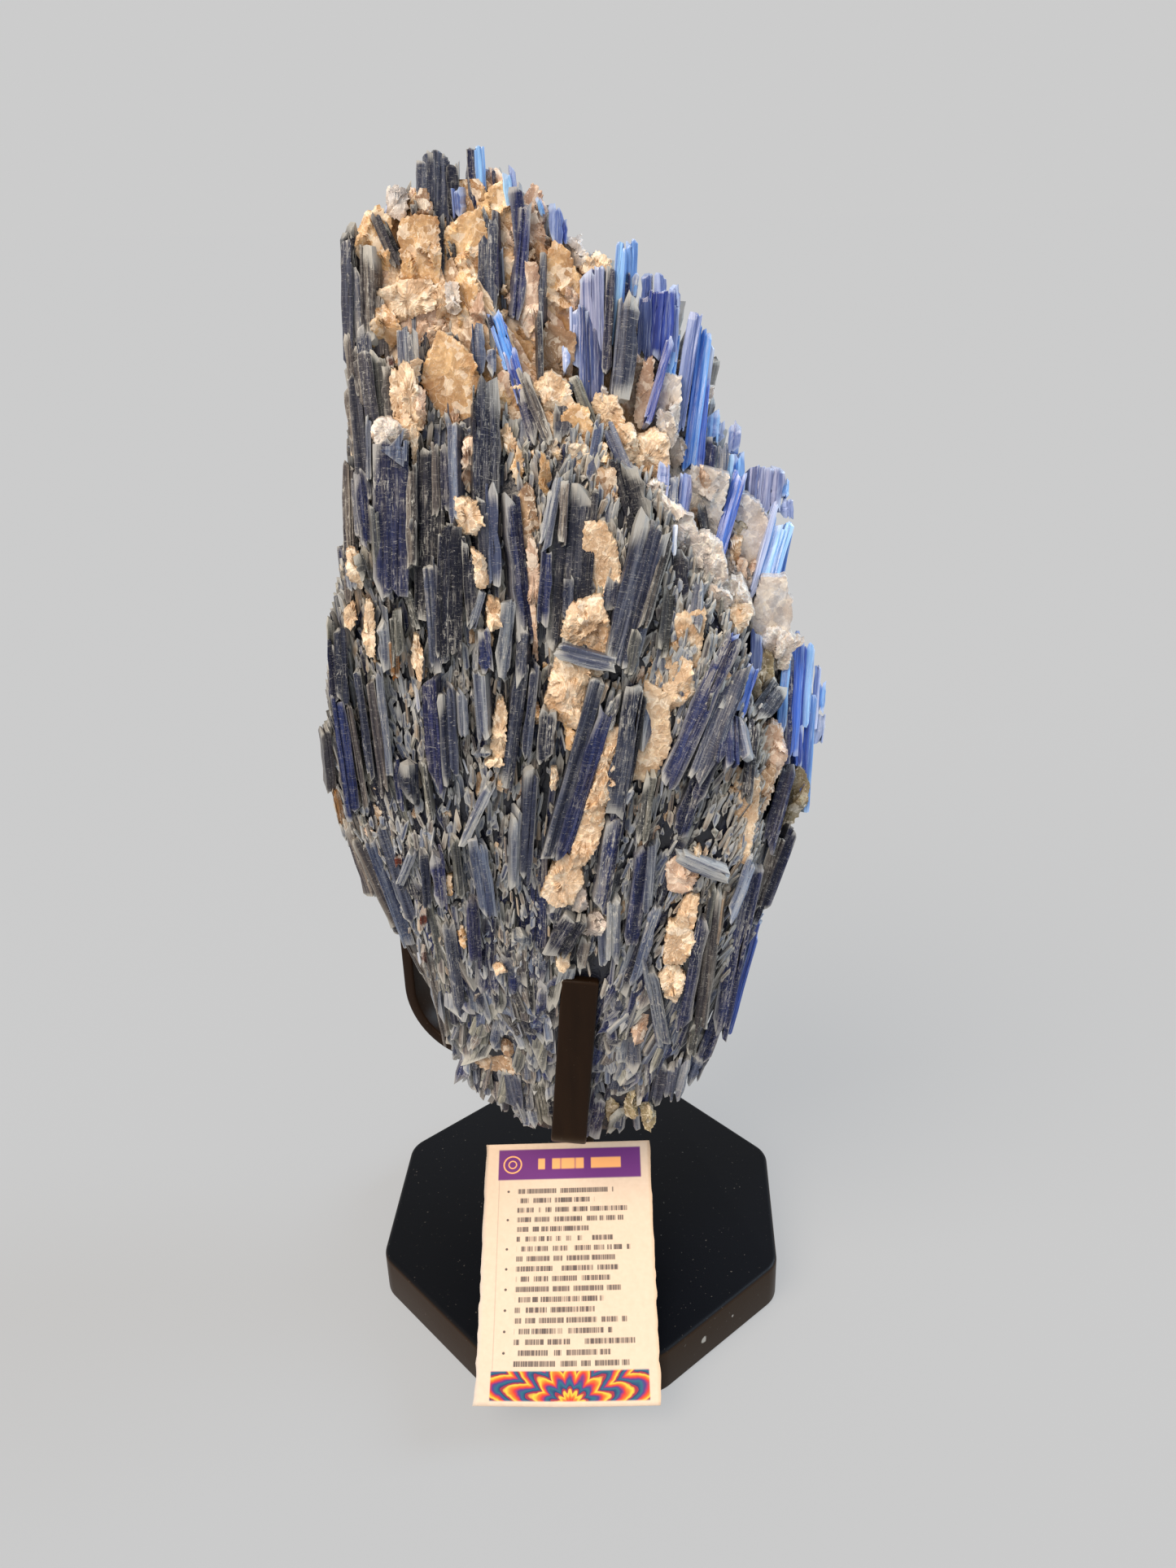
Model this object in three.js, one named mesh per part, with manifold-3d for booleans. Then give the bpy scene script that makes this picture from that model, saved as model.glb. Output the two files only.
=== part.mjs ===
// A tall kyanite and quartz specimen on a three-pronged display stand with a loose label card.
// Millimetres, +Z up, front towards -Y, origin in the middle of the board's underside.

import * as THREE from "three";
import { mergeVertices } from "three/addons/utils/BufferGeometryUtils.js";
import Module from "manifold-3d";

const wasm = await Module();
wasm.setup();

// ---- driving dimensions ----

const GAP = 0.3;              // air between pieces that rest on each other
const MERGE = 0.001;          // points this close are one point
const SETTLE_ROUNDS = 3;

const BOARD_ACROSS = 152.4;   // octagonal board, measured flat to flat
const BOARD_THICK = 19.05;
const BOARD_CORNER = 12;      // radius of the upright corners
const BOARD_EDGE = 1.5;       // softened top and bottom edges

const BAR_WIDE = 12.7;        // flat bar of the prongs, and the diameter of the round post
const BAR_THICK = 4.8;
const BAR_EDGE = 0.6;
const TIP_CHAMFER = 1.2;
const HUB = [-1.6, 3.2];      // x and y of the post
const ARM_Z = 78;             // underside of the front prong's arm
const ARM_START = BAR_WIDE / 2 + GAP;   // each arm is butted against the post

// Reach of the outer face, height of the tip, twist about the arm, heading round the post, and
// outer radius of the bend.
const PRONGS = {
  front_prong: { reach: 43.2, tip: 152, twist: 5.3, heading: -90, bend: 9 },
  left_prong: { reach: 73, tip: 147, twist: 0, heading: 157, bend: 26 },
  right_prong: { reach: 62, tip: 138, twist: 0, heading: 38, bend: 22 },
};

const CARD = { wide: 65, tall: 97.6, thick: 0.6, corner: 1.2 };
const CARD_TOP = [-4.9, -4.2, 52];             // middle of the card's top edge
const CARD_NORMAL = [0.0094, -0.4057, 0.9139];
const CARD_TURN = 3.24;                       // turn in its own plane, degrees

// The specimen's places are read along lines of sight from EYE: x and z are where the line
// crosses the plane y = 0, and the depth that follows is the y of the place itself.
const EYE = [34.8, -395.8, 388.4];

const MASS_DEPTH = 15;        // how far a blade reaches back into the mass
const ROOT_DROP = 6;          // how much deeper its lower end sits
const SIDE_POINTS = 10;       // points round one section of the mass
// Cross sections of a blade, in widths and depths: wide ones have a ridge along their face.
const RIDGED_OUTLINE = [[-0.5, 0.14], [-0.12, 0], [0.5, 0.1], [0.4, 1], [-0.4, 1]];
const FLAT_OUTLINE = [[-0.5, 0], [0.5, 0.06], [0.4, 1], [-0.4, 1]];
const RIDGE_FROM = 5.3;       // width from which a blade has the ridge
const BIG_LUMP = 240;         // width times height from which a lump has eighty faces
const SMOOTHING = 0.35;       // points that move the surface by less than this are left out

// Sections of the two masses that carry the blades: z, left x, right x, front y, back y.
const BACK_MASS = [
  [84, -10, 24, -24, 8], [100, -32, 38, -27, 22], [150, -46, 58, -34, 38], [205, -66, 73, -35, 46],
  [262, -62, 72, -24, 47], [312, -55, 50, -10, 43], [352, -52, 34, -7, 36], [376, -47, 6, -4, 27],
  [394, -36, -13, 0, 14],
];
const FRONT_MASS = [
  [80, -16, 16, -29, -6], [100, -34, 38, -30, -4], [150, -48, 56, -39, -4], [205, -66, 66, -44, -4],
  [268, -62, 58, -43, -4], [310, -56, 34, -34, -4], [348, -53, -6, -18, -3], [376, -46, -22, -8, 0],
];

// Blades: x, z, y of the top end, x, z, y of the lower end, width.
const TOP_BLADES = [
  [-32, 403, 0, -36, 389, -3, 6], [-28.5, 402, 1, -30, 389, -2, 5],
  [-19.2, 404.3, 4, -19.5, 388, 1, 5.2], [-56.5, 386.5, -8, -58.5, 368, -12, 4.5],
  [-53, 380, -12, -55.5, 356, -20, 4], [-16.5, 389, -3, -18.5, 364, -10, 5.5],
  [3.4, 389, 3, 2.7, 378, 0, 5], [12.3, 372, -2, 12, 331, -15, 7.5], [29, 364, 1, 28, 347.5, -4, 5],
  [34.2, 365, 2, 33.3, 348.5, -3, 4.8], [24, 365, -3, 20.8, 335, -14, 6],
];
const LEFT_BLADES = [
  [-60.5, 345, -22, -60.5, 305, -36, 4], [-56.8, 350, -22, -56, 325, -31, 4.2],
  [-52.5, 350, -20, -53, 325, -29, 4.5], [-44.2, 356.5, -17, -44.8, 337, -25, 4],
  [-54.3, 323, -35, -53, 272, -47, 6.5], [-48.8, 319, -35, -50, 283, -45, 4.4],
  [-43.5, 321, -33, -44, 284, -43, 4], [-20.3, 344, -26, -20.5, 311, -36, 4],
  [-64.8, 318, -28, -68.8, 272, -38, 3.8], [-61.5, 316, -34, -61.7, 290, -41, 3.8],
  [-59, 270.5, -47, -59.5, 247, -49, 3.8], [-54.5, 271, -47, -55.3, 249, -49, 4],
  [-76, 267, -38, -79.2, 225, -42, 4], [-73.5, 264, -42, -75.5, 236, -45, 4],
  [-77.3, 240, -45, -76.5, 190, -42, 4.8], [-35.5, 299.5, -42, -35.5, 250, -48, 5.2],
  [-28.7, 292.5, -42, -29, 262, -47, 4.4], [-42, 284, -44, -42.5, 247, -48, 4],
  [-28.5, 247, -49, -28.3, 221, -51, 4], [-45.5, 247, -48, -46.5, 200, -50, 4.6],
  [-53.5, 214, -50, -54.5, 196, -50, 5], [-69, 250, -46, -68, 205, -47, 4],
  [-76, 184, -38, -64.5, 146, -34, 4.6], [-71.5, 185, -42, -60.7, 138, -36, 4.2],
  [-80, 196, -36, -73, 160, -34, 4], [-47.8, 180, -48, -47.8, 155, -46, 4.4],
  [-33, 187, -50, -30.5, 152, -47, 6], [-36.5, 160, -47, -37, 130, -43, 4.6],
  [-53.5, 137, -37, -49.5, 95, -29, 4.4], [-46, 150, -43, -44, 104, -35, 5],
  [-19, 147, -47, -20, 140, -46, 6], [-13, 138, -45, -13.5, 130, -44, 5],
];
const MIDDLE_BLADES = [
  [-16.7, 360.5, -12, -5.7, 321.5, -27, 4.2], [3.8, 343, -14, 2.3, 322.5, -24, 4.8],
  [15.8, 328, -21, 24, 308, -32, 4.2], [-14.4, 309, -37, -9.3, 256, -47, 3.8],
  [0.5, 312, -35, -5, 287, -43, 3.8], [6.5, 303, -40, 4, 268, -47, 4.8],
  [0.5, 292, -42, -1.5, 262, -48, 4], [29.5, 301, -38, 15.2, 250, -51, 8.4],
  [35, 298, -35, 24, 260, -49, 4.2], [25.5, 310, -28, 22.5, 287, -36, 6],
  [17, 279, -41, 15.5, 268, -45, 4.2], [-17, 272, -46, -21, 245, -49, 4.6],
  [11.8, 244, -52, -8.2, 176, -50, 4.8], [14, 232, -51, -3.8, 174, -50, 5.4],
  [17.3, 240, -49, 14, 226, -50, 4], [23.5, 241, -50, 15.5, 190, -50, 6.2],
  [16.5, 192, -49, 9.5, 150, -46, 5.6], [29, 210, -50, 25.2, 182, -49, 4],
  [26.3, 180, -47, 21, 139, -43, 5.2], [26.5, 138, -44, 33.5, 94, -36, 5],
  [15.5, 162, -47, 14.3, 131, -43, 5], [0.5, 151, -48, -9, 134.5, -45, 6.4],
  [5, 145, -44, 2, 130, -42, 4], [-5.5, 234, -50, -8, 212, -50, 5],
  [-12.8, 252, -48, -21.5, 203, -49, 4], [-12, 212, -50, -17, 165, -48, 4],
  [8, 76, -31, 4.5, 50, -28, 6], [-16, 80, -31, -14, 57, -26, 6],
  [-26, 84, -31, -24, 61, -24, 6], [-36, 104, -34, -34, 76, -27, 6], [-27, 122, -38, -27, 92, -33, 6],
  [-14, 118, -38, -14, 84, -33, 6], [-43, 112, -33, -43, 82, -25, 5], [13, 118, -40, 11, 84, -34, 6],
  [20, 122, -40, 18, 92, -35, 5], [-24, 144, -43, -25, 120, -39, 6], [-6, 128, -40, -8, 104, -37, 5],
];
const RIGHT_BLADES = [
  [44.4, 359.5, 14, 37.8, 323.5, 4, 4.4], [46.8, 355, 15, 41.3, 311.5, 0, 4.4],
  [64, 313.3, 18, 63.2, 301, 13, 6], [68.8, 311.5, 19, 68.4, 300, 14, 5.6],
  [57.6, 313, 12, 50.7, 286, -2, 4.2], [71, 300, 14, 64.5, 271.5, 2, 7],
  [38.5, 288, -26, 39.5, 266, -32, 5], [57, 261, -32, 33.5, 203, -50, 6.8],
  [60, 252, -28, 44, 205, -45, 7], [47.5, 215, -46, 38, 182, -48, 6], [56.3, 230, -32, 57, 212, -46, 10],
  [54, 229, -36, 44.5, 199, -46, 4.4], [72.5, 243, -8, 64.5, 230, -20, 7],
  [81.5, 257.5, 4, 80.3, 228, -8, 4.8], [76.5, 215, -14, 69.5, 180, -30, 5],
  [79, 190, -18, 67, 149, -32, 4], [65, 172, -36, 53, 97, -31, 7], [52, 165, -44, 46.5, 100, -37, 5],
  [47.5, 152, -45, 39.5, 100, -39, 4.4], [74, 186, -26, 66, 158, -34, 4],
  [50, 96, -29, 45.5, 73, -25, 5], [46, 92, -31, 41, 69, -27, 4.6], [40, 90, -33, 36, 68, -28, 5],
  [33, 88, -33, 29, 66, -27, 5],
];
// Blades that lie across the others, with both ends named in the same way.
const CROSS_BLADES = [[17.7, 249, -51, -3, 254.5, -52, 5.2], [57, 168, -46, 38, 177, -48, 5]];

// Quartz and broken lumps: x, z, depth of the middle of the face, width, height, lean in degrees.
const LUMPS = [
  [-39, 376, -11, 10, 13, 5], [-24.3, 378, -7, 8.5, 17, 5], [-42, 364, -14, 15, 9, 0],
  [-3.5, 387.5, 2, 7, 12, 0], [3.8, 365, -2, 9, 24, 3], [2, 347, -9, 8.5, 17, 3],
  [-5.5, 362, -7, 5, 24, 0], [-29.3, 341, -25, 11.5, 19, 0], [-42.5, 332.5, -29, 9, 13, 0],
  [-51.3, 325, -34, 10, 8, 0], [-27, 316, -34, 4, 22, 3], [-15, 334, -24, 4.4, 24, 0],
  [7, 325, -21, 9, 13, 0], [28, 336, -9, 6, 22, 5], [34.7, 328.5, -4, 7, 19, 3],
  [26.5, 316, -23, 14, 10, -35], [46.5, 303, 0, 9, 16, 3], [60.3, 293.5, 3, 12, 16, 5],
  [47, 281, -15, 12.5, 18, -15], [53, 266, -19, 14, 13, 0], [40, 256, -40, 19, 19, 20],
  [30.5, 224, -47, 14, 36, 8], [68, 261, -6, 11.5, 28, 0], [66, 240, -14, 8, 18, 5],
  [-7.8, 300, -38, 7, 12, 0], [-8.5, 280, -43, 3.8, 30, 0], [16, 287, -39, 11, 18, 8],
  [15.5, 302, -33, 6.5, 20, 0], [9.5, 262, -48, 13, 14, 0], [1.5, 240, -49, 11, 19, 5],
  [13.8, 215, -51, 6.5, 20, 14], [10.8, 200, -52, 7, 18, 16], [5.5, 184, -51, 8, 20, 20],
  [-2.5, 167, -50, 9.5, 18, 30], [41.5, 153, -47, 6, 16, 12], [38, 139, -46, 9, 18, 12],
  [35.7, 125, -42, 6.5, 14, 5], [39.3, 168.5, -46, 9.5, 13, 0], [58.5, 192, -38, 12.5, 27, 5],
  [69, 215, -15, 8, 20, 3], [66.5, 201, -23, 7, 18, 12], [78, 200, -14, 6.5, 19, 18],
  [-22.5, 224, -51, 4.4, 24, 8], [-64, 261, -46, 4, 20, 5], [-31, 87, -32, 16, 9, 0],
  [12.5, 64, -28, 6, 16, 0], [21, 66, -29, 8, 14, 0], [23.5, 103, -38, 6, 16, 3],
];

// Outline of the whole specimen along the same lines of sight: x, z.
const OUTLINE = [
  [-59, 385], [-62, 360], [-66, 320], [-71, 290], [-78, 267], [-82, 245], [-86, 215], [-85, 200],
  [-81, 180], [-71, 155], [-61, 139], [-54, 115], [-52, 85], [-44, 75], [-32, 64], [-25, 57], [-13, 50],
  [1, 46], [16, 52], [28, 52], [34, 64], [44, 69], [51, 90], [62, 120], [71, 154], [81, 180], [86, 215],
  [88, 240], [85, 258], [75, 263], [74, 290], [74, 313], [60, 315], [56, 329], [49, 355], [44, 360],
  [37, 365], [28, 373], [22, 380], [4, 389], [-9, 399], [-19, 404], [-33, 404], [-48, 392],
];
const OUTLINE_DEPTH = 160;

// Rows of blades that clothe the back and the sides: z, the row's start and end, and how far out
// its blades stand. Back rows run along x, side rows along y.
const BACK_ROWS = [
  [116, -24, 34, 27], [166, -46, 54, 42], [216, -60, 66, 48], [266, -56, 62, 49], [312, -50, 44, 44],
  [350, -44, 24, 36], [372, -36, -6, 26],
];
const LEFT_ROWS = [[152, -20, 24, 50], [208, -24, 32, 66], [260, -22, 34, 63], [310, -14, 32, 57]];
const RIGHT_ROWS = [[146, -16, 26, 55], [200, -4, 34, 73], [246, 10, 36, 75], [290, 24, 38, 62]];
const ROW_STEP = 20;          // spacing of the blades in a row
const FILL_WIDE = 21;
const FILL_LONG = 62;
const FILL_DEEP = 13;

// ---- small helpers ----

// One repeatable stream of numbers between 0 and 1.
let seed = 7;
function random() {
  seed = (seed * 16807) % 2147483647;
  return seed / 2147483647;
}

function jitter(size) {
  return (random() - 0.5) * 2 * size;
}

function sight(x, z, y) {
  const reach = (y - EYE[1]) / -EYE[1];
  return new THREE.Vector3(EYE[0] + (x - EYE[0]) * reach, y, EYE[2] + (z - EYE[2]) * reach);
}

function toManifold(geometry) {
  const bare = new THREE.BufferGeometry();
  bare.setAttribute("position", geometry.getAttribute("position").clone());
  if (geometry.index) bare.setIndex(geometry.index.clone());
  const merged = mergeVertices(bare, MERGE);
  return new wasm.Manifold(new wasm.Mesh({
    numProp: 3,
    vertProperties: new Float32Array(merged.getAttribute("position").array),
    triVerts: new Uint32Array(merged.index.array),
  }));
}

function toGeometry(manifold) {
  const mesh = manifold.getMesh();
  const geometry = new THREE.BufferGeometry();
  geometry.setAttribute("position", new THREE.BufferAttribute(mesh.vertProperties, 3));
  geometry.setIndex(new THREE.BufferAttribute(mesh.triVerts, 1));
  return geometry;
}

// The largest body of a solid, without loose crumbs and sealed hollows, once points closer than
// MERGE have become one.
function largestBody(manifold) {
  let body = manifold;
  for (let round = 0; round < SETTLE_ROUNDS; round += 1) {
    const bodies = toManifold(toGeometry(body).toNonIndexed()).decompose();
    body = bodies.sort((a, b) => b.volume() - a.volume())[0];
  }
  return body;
}

// A closed skin over rings of points that all have the same count, flat at both ends.
function skin(rings) {
  const count = rings[0].length;
  const points = rings.flat();
  const faces = [];
  for (let r = 0; r + 1 < rings.length; r += 1) {
    for (let i = 0; i < count; i += 1) {
      const a = r * count + i;
      const b = r * count + ((i + 1) % count);
      faces.push(a, b, b + count, a, b + count, a + count);
    }
  }
  const last = (rings.length - 1) * count;
  for (let i = 1; i + 1 < count; i += 1) {
    faces.push(0, i + 1, i);
    faces.push(last, last + i, last + i + 1);
  }
  const geometry = new THREE.BufferGeometry();
  geometry.setAttribute("position", new THREE.Float32BufferAttribute(points.flatMap((p) => p.toArray()), 3));
  geometry.setIndex(faces);
  return geometry;
}

const RUN_X = new THREE.Vector3(1, 0, 0);
const RUN_Y = new THREE.Vector3(0, 1, 0);
const BACKWARDS = new THREE.Vector3(0, 1, 0);
const LEFTWARDS = new THREE.Vector3(-1, 0, 0);
const RIGHTWARDS = new THREE.Vector3(1, 0, 0);

// ---- the crystal's shapes ----

// A flat-sided lath from its low end to its top. "away" points into the mass.
function lath(low, top, away, wide, deep, turn) {
  const along = top.clone().sub(low).normalize();
  const side = new THREE.Vector3().crossVectors(away, along).normalize();
  const back = new THREE.Vector3().crossVectors(along, side).normalize();
  side.applyAxisAngle(along, turn);
  back.applyAxisAngle(along, turn);
  const outline = wide < RIDGE_FROM ? FLAT_OUTLINE : RIDGED_OUTLINE;
  const slope = jitter(0.5) * wide;
  function ring(middle, scale, drop) {
    return outline.map(([u, v]) => middle.clone()
      .addScaledVector(side, u * wide * scale)
      .addScaledVector(back, v * deep * (1 - (1 - scale) * 0.4))
      .addScaledVector(along, slope * u - drop * v));
  }
  return skin([ring(low, 0.92, 0), ring(top, 0.8, 0.25 * deep)]);
}

function blade([topX, topZ, topY, lowX, lowZ, lowY, wide]) {
  const low = sight(lowX, lowZ, lowY);
  const top = sight(topX, topZ, topY);
  const away = low.clone().lerp(top, 0.5).sub(new THREE.Vector3(...EYE)).setZ(0).normalize();
  low.addScaledVector(away, ROOT_DROP * 0.2);
  const reach = (lowY - EYE[1]) / -EYE[1];
  return lath(low, top, away, wide * reach, MASS_DEPTH, jitter(0.22));
}

// A lump with flat facets: a ball of twenty or eighty faces, stretched, leaning and knocked about.
function lump([x, z, y, wide, high, lean]) {
  const detail = wide * high > BIG_LUMP ? 1 : 0;
  const deep = Math.max(14, wide * 1.3);
  const geometry = mergeVertices(new THREE.IcosahedronGeometry(1, detail).deleteAttribute("normal").deleteAttribute("uv"));
  const spots = geometry.getAttribute("position");
  const middle = sight(x, z, y);
  middle.y += deep / 2 - 1;
  const tilt = THREE.MathUtils.degToRad(lean);
  for (let i = 0; i < spots.count; i += 1) {
    const rough = 1.12 + jitter(0.1);
    const u = spots.getX(i) * wide * 0.5 * rough;
    const w = spots.getZ(i) * high * 0.5 * rough;
    const x1 = u * Math.cos(tilt) + w * Math.sin(tilt);
    const z1 = -u * Math.sin(tilt) + w * Math.cos(tilt);
    spots.setXYZ(i, middle.x + x1, middle.y + spots.getY(i) * deep * 0.5 * rough, middle.z + z1);
  }
  return geometry;
}

// How far a blade leans to the right, in degrees, at a place on the specimen.
function leanAt(x, z) {
  const low = 8 + 0.36 * x;
  const high = 7 + 0.15 * x;
  return THREE.MathUtils.lerp(low, high, THREE.MathUtils.smoothstep(z, 170, 260));
}

function massSection([z, left, right, front, back]) {
  const ring = [];
  for (let i = 0; i < SIDE_POINTS; i += 1) {
    const turn = (i / SIDE_POINTS) * 2 * Math.PI;
    const u = Math.sign(Math.cos(turn)) * Math.abs(Math.cos(turn)) ** 0.6;
    const v = Math.sign(Math.sin(turn)) * Math.abs(Math.sin(turn)) ** 0.6;
    const across = THREE.MathUtils.lerp(left, right, (u + 1) / 2);
    const deep = THREE.MathUtils.lerp(front, back, (v + 1) / 2);
    ring.push(new THREE.Vector3(across + jitter(1.2), deep + jitter(1.2), z));
  }
  return ring;
}

// Blades side by side along "run", standing on the side of the mass that looks towards "out".
function fillRow([z, from, to, at], run, out) {
  const laths = [];
  for (let s = from; s <= to; s += ROW_STEP) {
    const end = Math.min(s - from, to - s) / (to - from);
    const recede = Math.max(0, 6 - 40 * end) + jitter(2);
    const middle = run.clone().multiplyScalar(s + jitter(2)).addScaledVector(out, at - recede);
    middle.z = z + jitter(9);
    const lean = THREE.MathUtils.degToRad(leanAt(middle.x, middle.z) + jitter(3));
    const half = new THREE.Vector3(Math.sin(lean), 0, Math.cos(lean)).multiplyScalar(FILL_LONG / 2 * (1 + jitter(0.25)));
    const low = middle.clone().sub(half);
    const top = middle.clone().add(half);
    laths.push(lath(low, top, out.clone().negate(), FILL_WIDE * (1 + jitter(0.25)), FILL_DEEP, jitter(0.3)));
  }
  return laths;
}

// Everything that lies inside OUTLINE as seen from EYE.
function sightCone() {
  const shape = new THREE.Shape(OUTLINE.map(([x, z]) => new THREE.Vector2(x, z)));
  const geometry = new THREE.ExtrudeGeometry(shape, { depth: OUTLINE_DEPTH, bevelEnabled: false });
  const spots = geometry.getAttribute("position");
  for (let i = 0; i < spots.count; i += 1) {
    const spot = sight(spots.getX(i), spots.getY(i), OUTLINE_DEPTH / 2 - spots.getZ(i));
    spots.setXYZ(i, spot.x, spot.y, spot.z);
  }
  return geometry;
}

function specimen(keepClear) {
  const clothing = [
    ...BACK_ROWS.flatMap((row) => fillRow(row, RUN_X, BACKWARDS)),
    ...LEFT_ROWS.flatMap((row) => fillRow(row, RUN_Y, LEFTWARDS)),
    ...RIGHT_ROWS.flatMap((row) => fillRow(row, RUN_Y, RIGHTWARDS)),
  ];
  const shapes = [
    skin(BACK_MASS.map(massSection)),
    skin(FRONT_MASS.map(massSection)),
    ...[...TOP_BLADES, ...LEFT_BLADES, ...MIDDLE_BLADES, ...RIGHT_BLADES, ...CROSS_BLADES].map(blade),
    ...LUMPS.map(lump),
  ];
  const clothed = wasm.Manifold.union(clothing.map(toManifold)).intersect(toManifold(sightCone()));
  const joined = wasm.Manifold.union([clothed, ...shapes.map(toManifold)]).simplify(SMOOTHING);
  const cleared = joined.subtract(wasm.Manifold.union(keepClear.map(toManifold)));
  return toGeometry(largestBody(cleared));
}

// ---- the stand ----

function boardGeometry() {
  const shape = new THREE.Shape();
  const half = BOARD_ACROSS / 2 - BOARD_EDGE;
  const corner = half / Math.cos(Math.PI / 8);
  const inset = BOARD_CORNER * Math.tan(Math.PI / 8);
  for (let i = 0; i < 8; i += 1) {
    const turn = Math.PI / 8 + (i * Math.PI) / 4;
    const at = new THREE.Vector2(corner * Math.cos(turn), corner * Math.sin(turn));
    const before = new THREE.Vector2(Math.cos(turn - (5 * Math.PI) / 8), Math.sin(turn - (5 * Math.PI) / 8));
    const after = new THREE.Vector2(Math.cos(turn + (5 * Math.PI) / 8), Math.sin(turn + (5 * Math.PI) / 8));
    const start = at.clone().addScaledVector(before, inset);
    const end = at.clone().addScaledVector(after, inset);
    if (i === 0) shape.moveTo(start.x, start.y);
    else shape.lineTo(start.x, start.y);
    shape.quadraticCurveTo(at.x, at.y, end.x, end.y);
  }
  shape.closePath();
  const geometry = new THREE.ExtrudeGeometry(shape, {
    depth: BOARD_THICK - 2 * BOARD_EDGE, bevelThickness: BOARD_EDGE, bevelSize: BOARD_EDGE,
    bevelSegments: 1, curveSegments: 2,
  });
  return geometry.translate(0, 0, BOARD_EDGE);
}

function postGeometry(grow) {
  const radius = BAR_WIDE / 2 + grow;
  const low = BOARD_THICK + GAP;
  const high = ARM_Z + BAR_THICK + grow;
  const profile = [[0, low], [radius, low], [radius, high - BAR_EDGE], [radius - BAR_EDGE, high], [0, high]];
  const geometry = new THREE.LatheGeometry(profile.map(([r, z]) => new THREE.Vector2(r, z)), 20);
  return geometry.rotateX(Math.PI / 2).translate(HUB[0], HUB[1], 0);
}

// The side of a bent flat bar: out along the arm, round the bend and up to the tip.
function prongGeometry({ reach, tip, twist, heading, bend }, grow) {
  const outer = bend + grow;
  const inner = Math.max(bend - BAR_THICK - grow, 0.8);
  const face = reach + grow;
  const under = ARM_Z - grow;
  const over = ARM_Z + BAR_THICK + grow;
  const back = face - BAR_THICK - 2 * grow;
  const top = tip + grow;
  const shape = new THREE.Shape();
  shape.moveTo(ARM_START - grow, under);
  shape.lineTo(face - outer, under);
  shape.absarc(face - outer, under + outer, outer, -Math.PI / 2, 0, false);
  shape.lineTo(face, top - TIP_CHAMFER);
  shape.lineTo(face - TIP_CHAMFER, top);
  shape.lineTo(back + TIP_CHAMFER, top);
  shape.lineTo(back, top - TIP_CHAMFER);
  shape.lineTo(back, over + inner);
  shape.absarc(back - inner, over + inner, inner, 0, -Math.PI / 2, true);
  shape.lineTo(ARM_START - grow, over);
  shape.closePath();
  const wide = BAR_WIDE + 2 * grow;
  const geometry = new THREE.ExtrudeGeometry(shape, {
    depth: wide - 2 * BAR_EDGE, bevelThickness: BAR_EDGE, bevelSize: BAR_EDGE, bevelOffset: -BAR_EDGE,
    bevelSegments: 1, curveSegments: 4,
  });
  geometry.translate(0, 0, -wide / 2 + BAR_EDGE);
  geometry.rotateX(Math.PI / 2);
  geometry.translate(0, 0, -ARM_Z);
  geometry.rotateX(THREE.MathUtils.degToRad(-twist));
  geometry.translate(0, 0, ARM_Z);
  geometry.rotateZ(THREE.MathUtils.degToRad(heading));
  return geometry.translate(HUB[0], HUB[1], 0);
}

function cardGeometry() {
  const { wide, tall, thick, corner } = CARD;
  const shape = new THREE.Shape();
  shape.moveTo(-wide / 2 + corner, 0);
  for (const [x, y] of [
    [-wide / 2, -corner], [-wide / 2, -tall + corner], [-wide / 2 + corner, -tall],
    [wide / 2 - corner, -tall], [wide / 2, -tall + corner], [wide / 2, -corner], [wide / 2 - corner, 0],
  ]) shape.lineTo(x, y);
  shape.closePath();
  const geometry = new THREE.ExtrudeGeometry(shape, { depth: thick, bevelEnabled: false });
  const normal = new THREE.Vector3(...CARD_NORMAL).normalize();
  const across = new THREE.Vector3(0, 1, 0).cross(normal).normalize();
  const upward = normal.clone().cross(across);
  geometry.rotateZ(THREE.MathUtils.degToRad(CARD_TURN));
  geometry.applyMatrix4(new THREE.Matrix4().makeBasis(across, upward, normal));
  return geometry.translate(...CARD_TOP);
}

// ---- the object ----

const BLACK_PAINT = new THREE.MeshStandardMaterial({ color: 0x14110f, roughness: 0.45 });
const PRONG_PAINT = new THREE.MeshStandardMaterial({ color: 0x241810, roughness: 0.4, metalness: 0.1 });
const CRYSTAL = new THREE.MeshStandardMaterial({ color: 0x6f7f9c, roughness: 0.5 });
const PAPER = new THREE.MeshStandardMaterial({ color: 0xefe3cf, roughness: 0.9 });

const group = new THREE.Group();

function addPiece(name, geometry, material) {
  const mesh = new THREE.Mesh(geometry, material);
  mesh.name = name;
  group.add(mesh);
}

addPiece("base_plate", boardGeometry(), BLACK_PAINT);
addPiece("post", postGeometry(0), BLACK_PAINT);
for (const [name, prong] of Object.entries(PRONGS)) addPiece(name, prongGeometry(prong, 0), PRONG_PAINT);
addPiece("label_card", cardGeometry(), PAPER);
const room = GAP + 0.05;
const clearance = [postGeometry(room), ...Object.values(PRONGS).map((prong) => prongGeometry(prong, room))];
addPiece("kyanite_specimen", specimen(clearance), CRYSTAL);

export default group;
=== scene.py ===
"""Looks of a kyanite and quartz specimen on its three-pronged display stand.

Lengths in the tables are millimetres in the part's own frame: +Z up, the front towards -Y.
"""
import math

import bpy
import numpy as np
from mathutils import Matrix, Vector


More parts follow.
